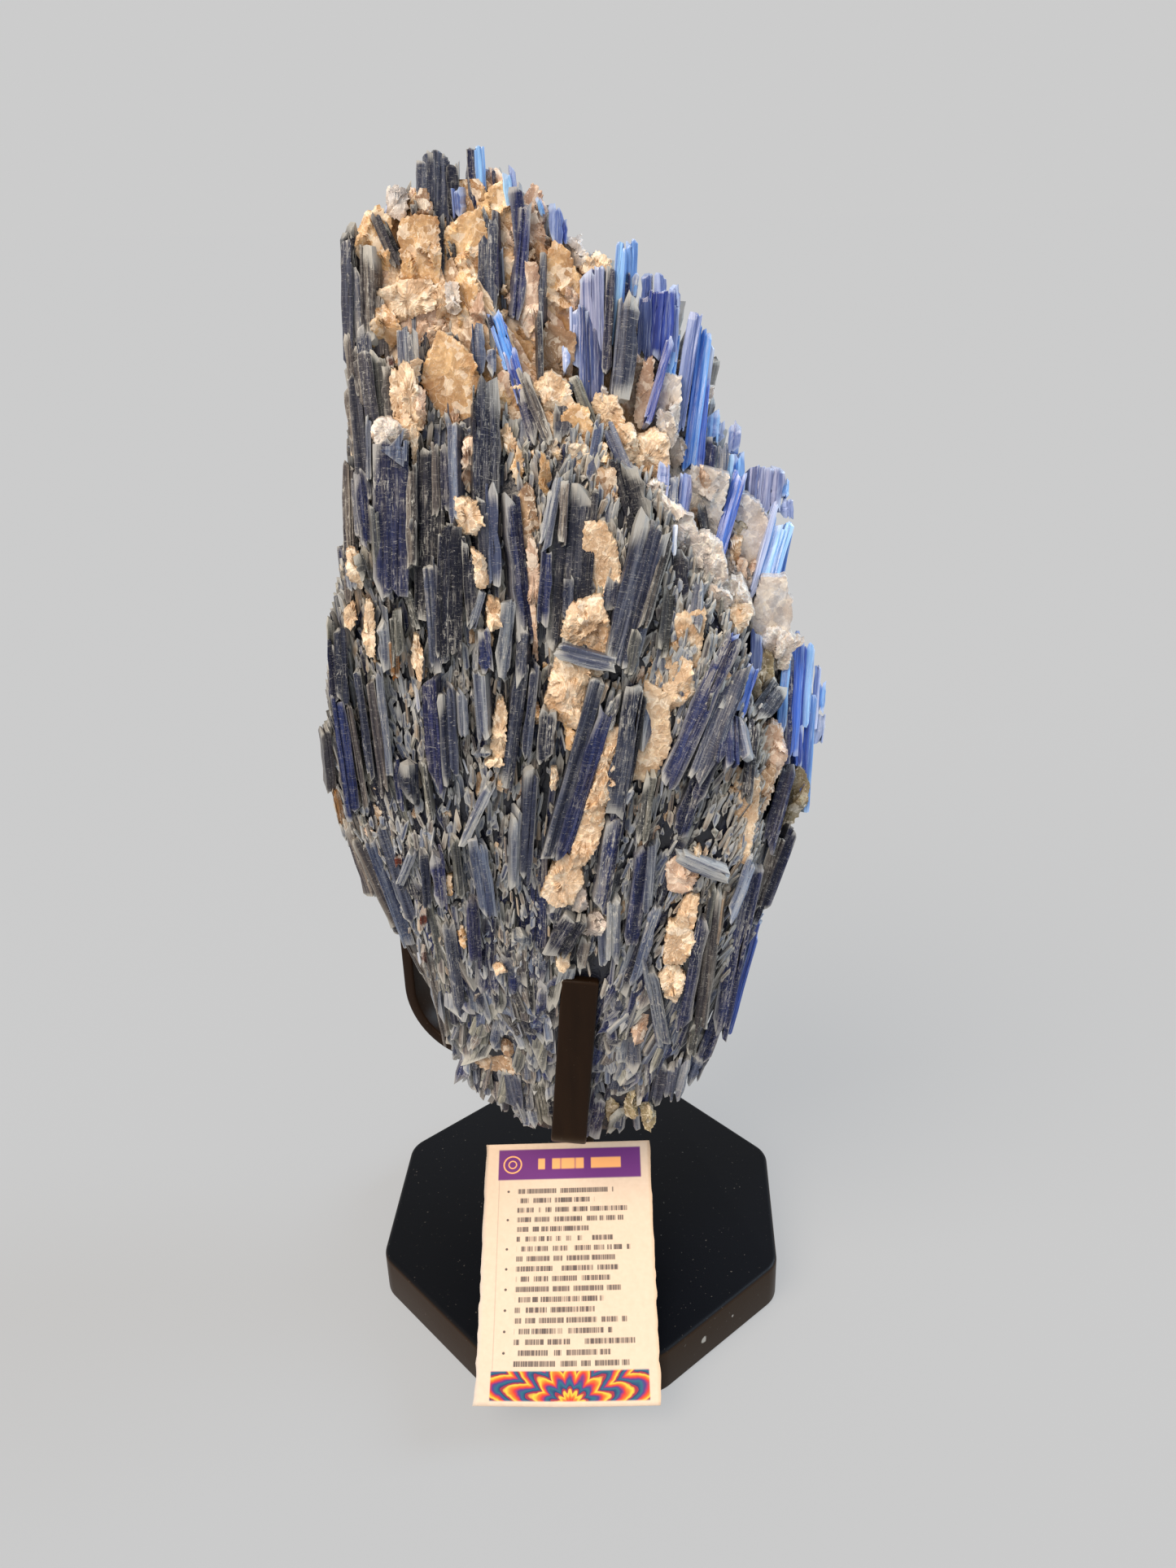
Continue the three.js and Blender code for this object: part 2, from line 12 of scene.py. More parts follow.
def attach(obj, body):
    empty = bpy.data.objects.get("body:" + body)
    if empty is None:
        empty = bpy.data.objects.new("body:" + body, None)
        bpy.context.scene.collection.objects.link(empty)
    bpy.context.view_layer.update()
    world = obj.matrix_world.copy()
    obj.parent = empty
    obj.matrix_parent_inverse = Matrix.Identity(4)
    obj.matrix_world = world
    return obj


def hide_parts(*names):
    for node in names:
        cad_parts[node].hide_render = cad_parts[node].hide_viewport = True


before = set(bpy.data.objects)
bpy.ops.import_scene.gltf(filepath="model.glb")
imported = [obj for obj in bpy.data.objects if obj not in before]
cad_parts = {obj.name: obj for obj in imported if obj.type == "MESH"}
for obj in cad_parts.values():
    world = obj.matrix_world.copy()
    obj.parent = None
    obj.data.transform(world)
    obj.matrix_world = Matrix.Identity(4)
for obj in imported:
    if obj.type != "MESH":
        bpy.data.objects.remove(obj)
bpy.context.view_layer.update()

MM = 0.001
draw = np.random.default_rng(20)

# ---------------------------------------------------------------- camera and stage

EYE = np.array([34.8, -395.8, 388.4])
YAW, PITCH, ROLL = 4.00, -24.67, -1.77
FOCAL_PX, LONG_SIDE_PX = 1550, 1927
SENSOR_MM = 36.0


def make_camera():
    data = bpy.data.cameras.new("studio_camera")
    data.sensor_width = SENSOR_MM
    data.lens = SENSOR_MM * FOCAL_PX / LONG_SIDE_PX
    data.clip_start = 0.01
    camera = bpy.data.objects.new("studio_camera", data)
    turn = Matrix.Rotation(math.radians(YAW), 4, "Z")
    tip = Matrix.Rotation(math.radians(90 + PITCH), 4, "X")
    roll = Matrix.Rotation(math.radians(ROLL), 4, "Z")
    camera.matrix_world = Matrix.Translation(Vector(EYE * MM)) @ turn @ tip @ roll
    bpy.context.scene.collection.objects.link(camera)
    bpy.context.scene.camera = camera


# ---------------------------------------------------------------- colours

def linear(colour):
    """A screen colour of 0 to 255 as the light values that shaders use."""
    c = np.asarray(colour, float) / 255
    return np.where(c <= 0.04045, c / 12.92, ((c + 0.055) / 1.055) ** 2.4)


# Each finish runs from the tone of its shaded laths to the tone of its clean faces.
BLADE_FINISHES = {
    "jet": ((6, 8, 20), (30, 36, 62)),
    "navy": ((8, 14, 46), (38, 54, 110)),
    "royal": ((22, 46, 140), (72, 118, 214)),
    "azure": ((64, 130, 216), (164, 212, 252)),
    "lilac": ((88, 110, 172), (172, 190, 230)),
    "haze": ((80, 88, 128), (146, 154, 190)),
    "ink": ((22, 34, 84), (66, 88, 150)),
    "cobalt": ((12, 24, 100), (44, 78, 184)),
    "violet": ((24, 28, 72), (66, 74, 128)),
    "slate": ((24, 29, 48), (84, 92, 112)),
    "steel": ((58, 70, 98), (128, 142, 164)),
    "silver": ((86, 96, 110), (164, 170, 176)),
    "taupe": ((46, 44, 46), (138, 128, 118)),
    "olive": ((50, 53, 50), (130, 130, 118)),
    "white": ((196, 208, 226), (236, 242, 250)),
    "tan": ((140, 122, 100), (200, 178, 150)),
    "amber": ((134, 92, 48), (196, 150, 94)),
    "rust": ((70, 26, 14), (120, 50, 24)),
}
QUARTZ_FINISHES = {
    "cream": ((226, 196, 160), (254, 236, 210)),
    "amber": ((186, 146, 102), (246, 212, 164)),
    "brown": ((150, 122, 98), (210, 182, 150)),
    "pink": ((192, 162, 144), (240, 216, 198)),
    "white": ((206, 208, 214), (246, 246, 248)),
    "mauve": ((184, 182, 188), (232, 230, 232)),
    "clear": ((206, 214, 228), (248, 250, 255)),
    "olive": ((112, 106, 80), (168, 158, 126)),
    "orange": ((150, 84, 20), (226, 150, 60)),
}
for shades in (BLADE_FINISHES, QUARTZ_FINISHES):
    for key, pair in shades.items():
        shades[key] = tuple(linear(colour) for colour in pair)

# Blades of these finishes are clear, and the others fibrous.
CLEAR_FINISHES = ("azure", "royal", "lilac", "white", "haze", "ink", "cobalt")
# Sugary quartz is milky, smooth quartz amber, and what is in neither list glassy.
SUGARY, SMOOTH = ("cream", "white", "orange"), ("amber", "brown", "pink", "olive")


# ---------------------------------------------------------------- the specimen's measures

def nearness(y):
    """How far along a line of sight depth y comes: 0 at EYE, 1 at the plane y = 0."""
    return (y - EYE[1]) / -EYE[1]


def sight(x, z, y):
    """The place at depth y on the line from EYE through (x, z) of the plane y = 0."""
    reach = nearness(y)
    return np.array([EYE[0] + (x - EYE[0]) * reach, y, EYE[2] + (z - EYE[2]) * reach])


def on_sheet(places):
    """Back from places to their x and z on the plane y = 0."""
    reach = nearness(places[:, 1])
    return EYE[0] + (places[:, 0] - EYE[0]) / reach, EYE[2] + (places[:, 2] - EYE[2]) / reach


def seen_at(place):
    """The same for one place."""
    x, z = on_sheet(place[None])
    return x[0], z[0]


# Sections of the two masses that carry the blades: z, left x, right x, front y, back y.
BACK_MASS = np.array([
    (84, -16, 30, -24, 8), (100, -38, 47, -27, 22), (150, -53, 63, -34, 38), (205, -70, 76, -35, 46),
    (240, -69, 76, -29, 47), (262, -66, 72, -22, 47), (290, -61, 60, -13, 45), (312, -58, 50, -8, 43),
    (352, -57.5, 34, -4, 36), (376, -54, 6, -2, 27), (388, -44, -8, 0, 18), (396, -36, -15, 2, 10),
], float)
FRONT_MASS = np.array([
    (78, -18, 20, -29, -6), (100, -39, 44, -30, -4), (150, -52, 58, -39, -4), (205, -73, 65, -44, -4),
    (230, -74, 65, -44, -4), (268, -68, 57, -43, -4), (310, -61, 34, -34, -4), (348, -58, -6, -16, -3),
    (376, -52, -22, -6, 0),
], float)
# The sections are boxes with rounded corners: |u| ** BOXY + |v| ** BOXY = 1.
BOXY, BOXY_ROOT, BOXY_TURN = 3.33, 0.3, 0.6

def faces_of(mass, z):
    """Left x, right x, front y and back y of a mass at height z."""
    return (np.interp(z, mass[:, 0], mass[:, k]) for k in range(1, 5))


# Top edge of the front layer: x and z on the plane y = 0.
RIDGE = np.array([(-62, 352), (-45, 345), (17, 332), (37, 307), (57, 275), (75, 240), (90, 225)], float)


def ridge_at(x):
    return np.interp(x, RIDGE[:, 0], RIDGE[:, 1])


def above_ridge(place):
    x, z = seen_at(place)
    return z > ridge_at(x) - 6


# Outline of the whole specimen along the same lines of sight: x, z.
OUTLINE = np.array([
    (-59, 385), (-61, 360), (-65, 320), (-70, 290), (-77, 267), (-81, 245), (-85, 215), (-84, 200),
    (-80, 180), (-70, 155), (-60, 139), (-53, 115), (-51, 85), (-43, 75), (-31, 64), (-24, 57), (-13, 51),
    (1, 48), (16, 54), (28, 54), (33, 66), (43, 71), (50, 90), (61, 120), (70, 154), (80, 180), (85, 215),
    (87, 240), (84, 257), (74, 262), (73, 290), (73, 312), (60, 313), (55, 328), (48, 354), (44, 359),
    (37, 364), (28, 370), (22, 377), (4, 387), (-9, 397), (-19, 402), (-33, 402), (-48, 390),
], float)


def inside_outline(x, z):
    """Whether a point of the plane y = 0 lies inside OUTLINE."""
    x0, z0 = OUTLINE.T
    x1, z1 = np.roll(OUTLINE, -1, axis=0).T
    crosses = (z0 > z) != (z1 > z)
    with np.errstate(divide="ignore", invalid="ignore"):
        at = x0 + (z - z0) * (x1 - x0) / (z1 - z0)
    return np.count_nonzero(crosses & (x < at)) % 2 == 1


# Openings between the blades, kept dark by the core's darkest slate, a painted shade: x, z, width, height,
# lean on the plane y = 0.
HOLES = [
    (-54, 228, 8, 19, 0), (-47, 263, 4, 10, 0), (-64.5, 198.5, 3, 3, 0), (-46.5, 194, 3, 8, 0),
    (-56, 185, 2, 4, 0), (-9, 224, 2, 8, 0), (35.5, 148, 3, 26, 19), (22, 194, 2.4, 18, 5),
    (27, 187, 2.4, 14, 5), (-46.5, 298, 2, 26, 0), (-10.5, 254, 2, 14, 0), (-4, 251, 2, 9, 0),
    (-19, 296, 2, 13, 0), (-30, 315, 2, 19, 15),
]

# Blades: x, z and depth of the top, the same of the foot, width, finish and the form of the top.
BLADES = [
    # crown
    (-30.6, 403.6, 1, -32.4, 386, -3, 10.5, "slate", "round"),
    (-26.2, 400, 1, -26.6, 386, -2, 3, "jet", "round"),
    (-20.6, 404, 4, -20.8, 388, 1, 2.6, "navy", "round"),
    (-18, 404.3, 4, -18.2, 388, 1, 2.8, "azure", "round"), (-14.4, 398.5, 4, -14.6, 392, 3, 0.8, "navy"),
    (-56.5, 386.5, -8, -58.5, 368, -12, 4.5, "jet", "point"), (-58.5, 382, -10, -62, 345, -20, 3, "slate"),
    (-53, 380, -12, -55.5, 356, -20, 4, "taupe"), (-50, 388, -8, -45.5, 375, -11, 2.5, "taupe"),
    (-47.5, 386, -7, -44, 376, -10, 1.8, "jet"), (-38, 391, -5, -38, 383, -7, 1.5, "jet"),
    (-30.8, 388, -4, -32.8, 369.5, -10, 2.8, "jet"), (-25.8, 393.5, -2, -26, 386.5, -4, 2.2, "lilac"),
    (-28, 380, -6, -28.5, 372, -8, 2.5, "taupe"), (-16.5, 389, -3, -18.5, 364, -10, 5.5, "slate"),
    (-14.6, 388, -2.6, -16, 366, -9.5, 1.8, "navy"), (-10.8, 397, 0, -10.5, 390, -2, 2.2, "azure"),
    (-9.2, 399.2, 1, -8.8, 392, -1, 1.2, "lilac", "point"), (-8.3, 394.5, -1, -7.3, 377, -5, 3.6, "navy"),
    (-5.3, 389, -3, -9.3, 362, -9, 3, "violet"), (-6, 389, -2.6, -7.6, 377, -5, 1.6, "lilac"),
    (-2, 390, 2, -1, 386, 1, 1.2, "azure"), (3, 389, 3, 2.5, 379, 0, 3.5, "lilac"),
    (5, 385, 3, 4.8, 379, 1, 1.8, "royal"), (-1.3, 376.5, -3, -3.2, 352, -10, 1.4, "slate"),
    (-2.8, 361, -8, -3.4, 334, -16, 1.3, "jet"), (12.3, 372, -2, 12.2, 350, -9, 7.5, "haze"),
    (12.2, 364, -3.5, 12, 331, -15, 7.2, "ink"), (7.5, 362, -4, 7, 344, -9, 3, "lilac"),
    (18.5, 372, -1, 16.5, 342, -11, 2.4, "navy"), (21.7, 380.5, 2, 18.8, 352, -6, 2.6, "azure"),
    (24.6, 379, 4, 24.2, 364, 1, 3.2, "azure"), (23.2, 370, 2, 23, 363, 0, 1.5, "navy"),
    (25.8, 369.5, 3, 24.8, 363.5, 2, 1.8, "white"), (28.7, 369.5, 5, 28.5, 360, 3, 2.6, "lilac"),
    (32.8, 371, 6, 33, 360, 4, 3, "lilac", "point"), (36, 366, 6, 36.5, 358, 5, 2.2, "lilac"),
    (28.4, 363, 1, 27.6, 347.5, -4, 3.6, "ink", "square"),
    (33.4, 365, 2, 32, 347.5, -3, 7.4, "cobalt", "square"), (24, 365, -3, 20.8, 335, -14, 6, "slate"),
    (36, 352, 0, 28.5, 327, -12, 2.4, "royal"), (36.5, 349, 2, 34.5, 338, -1, 1.6, "azure"),
    (38.2, 354, 4, 36, 338, 0, 1.2, "azure"), (37.5, 362, 4, 36.8, 345, 1, 1.5, "lilac"),
    # upper left
    (-57.6, 374, -12, -58.6, 342, -20, 4.4, "slate"), (-59.8, 356, -17, -60.4, 326, -26, 4.4, "taupe"),
    (-56, 357, -18, -57, 336, -24, 4, "slate"), (-51.5, 366, -14, -52, 346, -19, 5, "taupe"),
    (-63, 339.5, -24, -62.5, 321, -30, 2.4, "taupe", "point"),
    (-60.5, 345, -22, -60.5, 305, -36, 4, "slate"), (-56.8, 350, -22, -56, 325, -31, 4.2, "jet", "round"),
    (-58.7, 351, -21, -59, 334, -27, 2.4, "taupe"), (-52.5, 350, -20, -53, 325, -29, 4.5, "olive"),
    (-50, 346, -22, -50.5, 328, -28, 3, "taupe"),
    (-44.2, 356.5, -17, -44.8, 337, -25, 3.8, "silver", "round"),
    (-41.3, 355.5, -17, -41.5, 339, -24, 2.8, "silver"), (-42.7, 354, -16.6, -42.8, 341, -22, 0.9, "jet"),
    (-57.2, 331.5, -31, -59, 311.5, -37, 1.3, "silver"),
    (-51, 323.5, -35, -55.5, 273, -47, 11, "navy", "square"),
    (-49.5, 324, -37.5, -50, 317.5, -39, 7, "steel", "square"),
    (-38.5, 322, -33, -44, 266, -46, 8.5, "jet"), (-44.8, 318, -35, -47.8, 284, -45, 3, "taupe"),
    (-37, 324, -32, -38.5, 300, -39, 2.2, "taupe"), (-34.3, 323, -32, -35.5, 301, -39, 2.4, "navy"),
    (-31.7, 329, -31, -33.3, 296.8, -41, 2.8, "steel"), (-19.8, 344, -26, -22.8, 298, -39, 8, "jet"),
    (-21.5, 357.5, -16, -22, 343, -22, 3.4, "steel"), (-17.6, 352, -18, -18.2, 342, -22, 2.4, "steel"),
    (-31, 355, -15, -31, 349, -19, 6, "jet", "round"), (-16.7, 360.5, -12, -12, 343, -19, 4.2, "azure"),
    (-12.6, 350, -16, -8.8, 334, -22, 4, "royal"), (-10.2, 342, -19, -5.7, 321.5, -27, 4, "navy"),
    (-18.6, 360, -13, -14.8, 349, -17, 1.6, "navy"), (-9.6, 345, -19, -1.5, 321, -28, 3, "taupe"),
    (3.8, 343, -14, 2.3, 322.5, -24, 4.7, "slate", "point"), (6.2, 343, -15, 12, 327, -20, 3, "olive"),
    (4.4, 351, -10, 4.6, 343, -13, 2, "lilac"), (14.5, 329, -20, 10.5, 309, -30, 2.9, "steel"),
    (15.8, 328, -21, 24, 308, -32, 4, "steel"),
    # upper right
    (43.3, 359, 14, 37.5, 323.5, 4, 3.8, "lilac"), (46.3, 355, 15, 41, 311.5, 0, 4, "azure"),
    (48.3, 355, 16, 45, 322, 6, 1.6, "white"), (46, 340, 12, 44, 312.5, 2, 3.2, "royal"),
    (45.5, 325, 8, 45, 312, 4, 2, "navy"), (49, 330.2, 14, 48.2, 320, 10, 3.4, "azure"),
    (48.4, 323, 11, 47.3, 312, 7, 3.4, "navy"), (51.3, 328, 15, 50.5, 321, 13, 2.2, "white"),
    (52, 322, 14, 51.3, 305, 8, 3.2, "steel"), (55.6, 328, 17, 54.6, 318, 14, 3.4, "lilac"),
    (54, 318, 13, 53.2, 304, 9, 2.4, "azure"), (56.8, 319, 15, 57, 305, 11, 3.4, "azure"),
    (65.9, 313.6, 18, 65, 299, 12, 11, "haze", "square"), (71, 310, 20, 71, 304, 17, 2.4, "azure"),
    (33.8, 316, -8, 33, 305, -13, 3.5, "lilac"), (36.8, 313, -6, 35.5, 297, -14, 3.4, "steel"),
    (40.3, 312.5, -4, 38.8, 295, -12, 3.2, "lilac"), (45, 303, -2, 47, 291, -8, 2.8, "jet"),
    (43, 294.3, -12, 40.7, 290, -14, 1.1, "lilac"), (57.6, 313, 12, 50.7, 286, -2, 4.1, "royal"),
    (71.5, 298, 14, 65, 271.5, 2, 6.5, "azure"), (69.4, 290, 10, 66, 273, 3, 3.4, "royal"),
    (69, 303, 14, 61.5, 271.5, 1, 1.6, "lilac"), (73.8, 298, 15, 69.8, 275, 4, 2, "azure"),
    (71.5, 303.5, 16, 72, 297, 15, 4, "lilac"), (55.5, 277.5, -8, 55.6, 270, -10, 2, "lilac"),
    (57.2, 278, -8, 57.3, 270, -10, 1.2, "lilac"),
    # lower left
    (-64.8, 318, -28, -68.8, 272, -38, 3.7, "taupe"), (-63.8, 315, -33, -64.3, 293, -40, 1.8, "slate"),
    (-61.5, 316, -34, -61.7, 290, -41, 3.7, "navy"), (-58, 303.5, -42, -58.8, 279, -45, 2.2, "olive"),
    (-65, 288, -42, -63, 279, -43, 3, "olive"), (-68.5, 285, -40, -68, 276, -42, 3, "silver"),
    (-59, 270.5, -47, -59.5, 247, -49, 3.7, "silver"), (-54.5, 271, -47, -55.3, 249, -49, 4, "olive"),
    (-76.3, 267, -40, -79.5, 225, -44, 2.6, "olive"), (-73.5, 264, -42, -75.5, 236, -45, 4, "slate"),
    (-77, 262, -42, -78.6, 236, -45, 2.4, "navy"), (-77.3, 240, -45, -76.5, 190, -42, 4.7, "navy"),
    (-50.3, 276, -45, -48, 262, -46, 2.2, "olive"),
    (-33.7, 297, -42, -38.2, 252, -48, 8.5, "jet", "round"),
    (-28.7, 292.5, -42, -29, 262, -47, 4.4, "jet"), (-42, 284, -44, -42.5, 247, -48, 4, "slate"),
    (-46.3, 300, -41, -47.5, 285, -44, 2.5, "slate"), (-39, 290, -43, -39.6, 250, -47, 3, "slate"),
    (-23.8, 306, -39, -24.2, 278, -43, 3, "slate"), (-20.5, 312, -37, -21, 276, -44, 3.6, "steel"),
    (-24.8, 276, -45, -30, 261, -47, 2.2, "silver"), (-25.8, 263, -47, -25.3, 247, -49, 3.6, "navy"),
    (-34.2, 240, -50, -34.6, 223, -51, 2.8, "silver"),
    (-28.5, 247, -49, -28.3, 221, -51, 4, "silver", "square"),
    (-29.3, 222, -51, -29, 215.5, -51, 5.4, "silver", "point"),
    (-45.5, 247, -48, -46.5, 200, -50, 4.5, "violet"), (-41, 240, -48, -42, 205, -49, 3, "slate"),
    (-38, 245, -48, -39, 209, -49, 2.8, "slate"), (-26.5, 206, -50, -39, 181, -49, 3, "silver"),
    (-59.3, 216, -47, -59.3, 195, -47, 2.2, "navy"), (-53.5, 214, -50, -54.5, 196, -50, 5, "slate"),
    (-50, 215, -49, -49.3, 192, -49, 1.8, "olive"), (-73.5, 236, -45, -71.5, 196, -45, 1.8, "taupe"),
    (-69.5, 250, -45, -68.5, 205, -46, 2.4, "slate"), (-65.5, 245, -46, -64.5, 200, -47, 2.6, "taupe"),
    (-62, 250, -47, -61.8, 208, -48, 2.4, "silver"), (-82.5, 228, -40, -83, 203, -36, 3, "taupe"),
    (-81.8, 204, -38, -80.8, 190, -36, 2.4, "amber"), (-76, 184, -38, -64.5, 146, -34, 4.6, "taupe"),
    (-71.5, 185, -42, -60.7, 138, -36, 4.2, "steel"), (-67.5, 190, -44, -59, 150, -40, 3.5, "slate"),
    (-80, 196, -36, -73, 160, -34, 4, "taupe"), (-56.5, 179, -46, -63, 165, -44, 3, "silver"),
    (-47.8, 180, -48, -47.8, 155, -46, 4.2, "violet"), (-33, 187, -50, -30.5, 152, -47, 6, "steel"),
    (-36.5, 160, -47, -37, 130, -43, 4.6, "violet"), (-52.5, 180, -47, -53, 155, -44, 3, "slate"),
    (-41, 185, -48, -40.5, 160, -46, 3, "olive"), (-53.5, 137, -37, -49.5, 95, -29, 4.4, "taupe"),
    (-46, 150, -43, -44, 104, -35, 5, "slate"), (-19, 147, -47, -20, 140, -46, 6, "silver", "point"),
    (-13, 138, -45, -13.5, 130, -44, 5, "silver", "point"),
    # centre
    (-14.2, 309, -37, -11.5, 256, -47, 5, "navy"), (0.5, 312, -35, -5, 287, -43, 3.7, "silver"),
    (3, 311, -35, 1, 290, -42, 2.6, "taupe"), (7.2, 313, -33, 1, 253, -47, 13.5, "slate"),
    (-3.5, 290, -42, -6.5, 262, -47, 3.5, "navy"), (3, 280, -44, 2, 263, -47, 3, "slate"),
    (32, 300, -37, 18.2, 247, -51, 11.5, "slate", "slant"), (36.5, 296, -35, 27, 262, -49, 3, "taupe"),
    (37.5, 297, -33, 36.5, 286, -36, 1.2, "white"), (20.5, 318, -30, 27, 293, -36, 8, "jet", "slant"),
    (17, 279, -41, 15.5, 268, -45, 4.2, "slate"), (25, 262, -48, 22, 246, -50, 3.5, "olive"),
    (-17, 272, -46, -21, 245, -49, 4.6, "silver"), (-12.5, 266, -46, -14.5, 244, -49, 3.1, "slate"),
    (17.7, 249, -51, -3, 254.5, -52, 5.2, "silver", "square"),
    (11.8, 244, -52, -8.2, 176, -50, 4.7, "slate", "square"),
    (14, 232, -51, -3.8, 174, -50, 5.4, "navy", "square"), (14.4, 243, -50, 10.8, 233, -50, 1.6, "tan"),
    (16.3, 237, -50, 13.2, 230, -50, 1, "silver"), (17.3, 240, -49, 14, 226, -50, 4, "slate"),
    (23.5, 241, -50, 15.5, 190, -50, 6.1, "slate", "square"), (16.5, 192, -49, 9.5, 150, -46, 5.5, "navy"),
    (27, 240, -46, 20, 200, -47, 2.4, "jet"), (29, 210, -50, 25.2, 182, -49, 4, "olive"),
    (22.8, 204.5, -50, 20, 198, -50, 1.8, "silver"), (18.5, 205, -48, 16, 180, -47, 5, "navy"),
    (26.3, 180, -47, 21, 139, -43, 5.2, "navy"), (29.5, 186, -47, 27, 155, -46, 3.3, "silver"),
    (31, 157, -46, 22, 124, -41, 3.5, "steel"), (26.5, 138, -44, 33.5, 94, -36, 5, "silver"),
    (15.5, 162, -47, 14.3, 131, -43, 5, "silver"), (10.5, 150, -45, 10.8, 131, -42, 3, "silver"),
    (1, 151.5, -49, -8.5, 134, -46, 9, "navy", "square"), (-3, 158, -46, -5, 148, -45, 9, "slate"),
    (5, 145, -44, 2, 130, -42, 4, "taupe"), (-5.5, 234, -50, -8, 212, -50, 5, "slate"),
    (-12.8, 252, -48, -21.5, 203, -49, 4, "slate"), (-9, 250, -48, -14, 215, -50, 3, "slate"),
    (-12, 212, -50, -17, 165, -48, 3.8, "slate"), (-17.5, 200, -50, -20.7, 163, -48, 3.1, "silver"),
    (8, 76, -31, 4.5, 50, -28, 6, "violet"), (57, 168, -46, 38, 177, -48, 5, "silver"),
    (-16, 78, -30, -14, 57, -26, 5, "olive"), (-26, 82, -29, -24, 62, -24, 5, "slate"),
    # lower right
    (45, 280, -16, 43.5, 262, -26, 3.5, "silver"), (38.5, 288, -26, 39.5, 266, -32, 5, "jet"),
    (35.5, 278, -36, 33, 252, -45, 3.5, "olive"), (57, 261, -32, 33.5, 203, -50, 6.8, "navy", "slant"),
    (57.2, 261, -31, 50, 244, -37, 3.2, "royal"), (60, 252, -28, 44, 205, -45, 7, "slate"),
    (47.5, 215, -46, 38, 182, -48, 6, "navy"), (49, 240, -43, 40, 205, -48, 2, "jet"),
    (58.5, 243, -28, 54, 233, -33, 5, "silver"), (63.2, 249, -22, 58.5, 231, -28, 3.5, "royal"),
    (63.7, 262, -16, 63.8, 246, -20, 3.4, "lilac"),
    (54.6, 231, -36, 52.6, 214.5, -46, 4, "navy", "square"),
    (56.2, 232, -36, 57, 213, -46.5, 4.4, "navy", "square"),
    (57.6, 231, -36, 61, 214.5, -46, 3.6, "steel", "square"), (54, 229, -36, 44.5, 199, -46, 4.4, "navy"),
    (72.5, 243, -8, 64.5, 230, -20, 7, "jet"), (63.8, 230, -22, 62, 200, -34, 3.6, "jet"),
    (74.3, 255, -2, 74.5, 212, -16, 3.3, "navy"), (77.5, 262, 2, 77, 215, -14, 3.4, "royal"),
    (81.5, 257.5, 4, 80.3, 226, -8, 2.6, "azure", "point"), (79, 256, 2, 78.6, 224, -9, 2.2, "royal"),
    (73.8, 257, -1, 72.6, 224, -14, 2.8, "azure", "point"), (75.6, 253, -1, 75, 214, -15, 2.2, "royal"),
    (76.8, 258, 1, 76.4, 236, -6, 1.8, "azure", "point"), (84, 250, 4, 83.6, 226, -4, 2, "lilac", "point"),
    (85.3, 243.5, 2, 85, 232, -2, 3, "azure"), (85.6, 232, 0, 85, 221, -4, 3.4, "white"),
    (83, 240, 0, 82.5, 194.5, -14, 1.8, "azure"), (81.2, 236, -2, 80.8, 198, -14, 1.7, "royal"),
    (79, 228, -8, 79.3, 212, -12, 2.4, "royal"), (76.5, 215, -14, 69.5, 180, -30, 5, "navy"),
    (79, 190, -18, 67, 149, -32, 4, "navy"), (65, 178, -40, 56.5, 150, -43, 3.6, "steel"),
    (65, 172, -36, 53, 97, -31, 7, "navy", "square"), (67.8, 152, -28, 57.2, 101, -25, 2.2, "royal"),
    (52, 165, -44, 46.5, 100, -37, 5, "taupe"), (47.5, 152, -45, 39.5, 100, -39, 4.4, "navy"),
    (46, 110, -38, 42.5, 88, -34, 3.6, "olive"), (74, 186, -26, 66, 158, -34, 4, "taupe"),
    (57, 122, -27, 47, 88, -27, 5, "navy"), (52, 104, -27, 44, 80, -26, 5, "slate"),
    (46.5, 94, -29, 40.5, 74, -27, 5, "steel"), (41, 90, -32, 37, 70, -28, 4.6, "silver"),
    (36.5, 88, -33, 34, 70, -28, 4, "slate"), (33, 88, -33, 29, 66, -27, 5, "slate"),
    (51, 165, -44, 48, 140, -42, 2, "olive"), (54, 162, -43, 52, 141, -41, 1.8, "tan"),
    # stains
    (-55, 154, -44.5, -55.2, 148, -43.5, 2.2, "rust"), (-56, 138, -41, -56.1, 132, -40, 1.8, "rust"),
    (-49, 349, -20.5, -49, 345, -22, 1.6, "rust"), (-62, 178, -43, -62.3, 173, -42.6, 2.2, "rust"),
    (-56.3, 259, -48, -56.5, 245, -48.6, 2.4, "amber"),
]

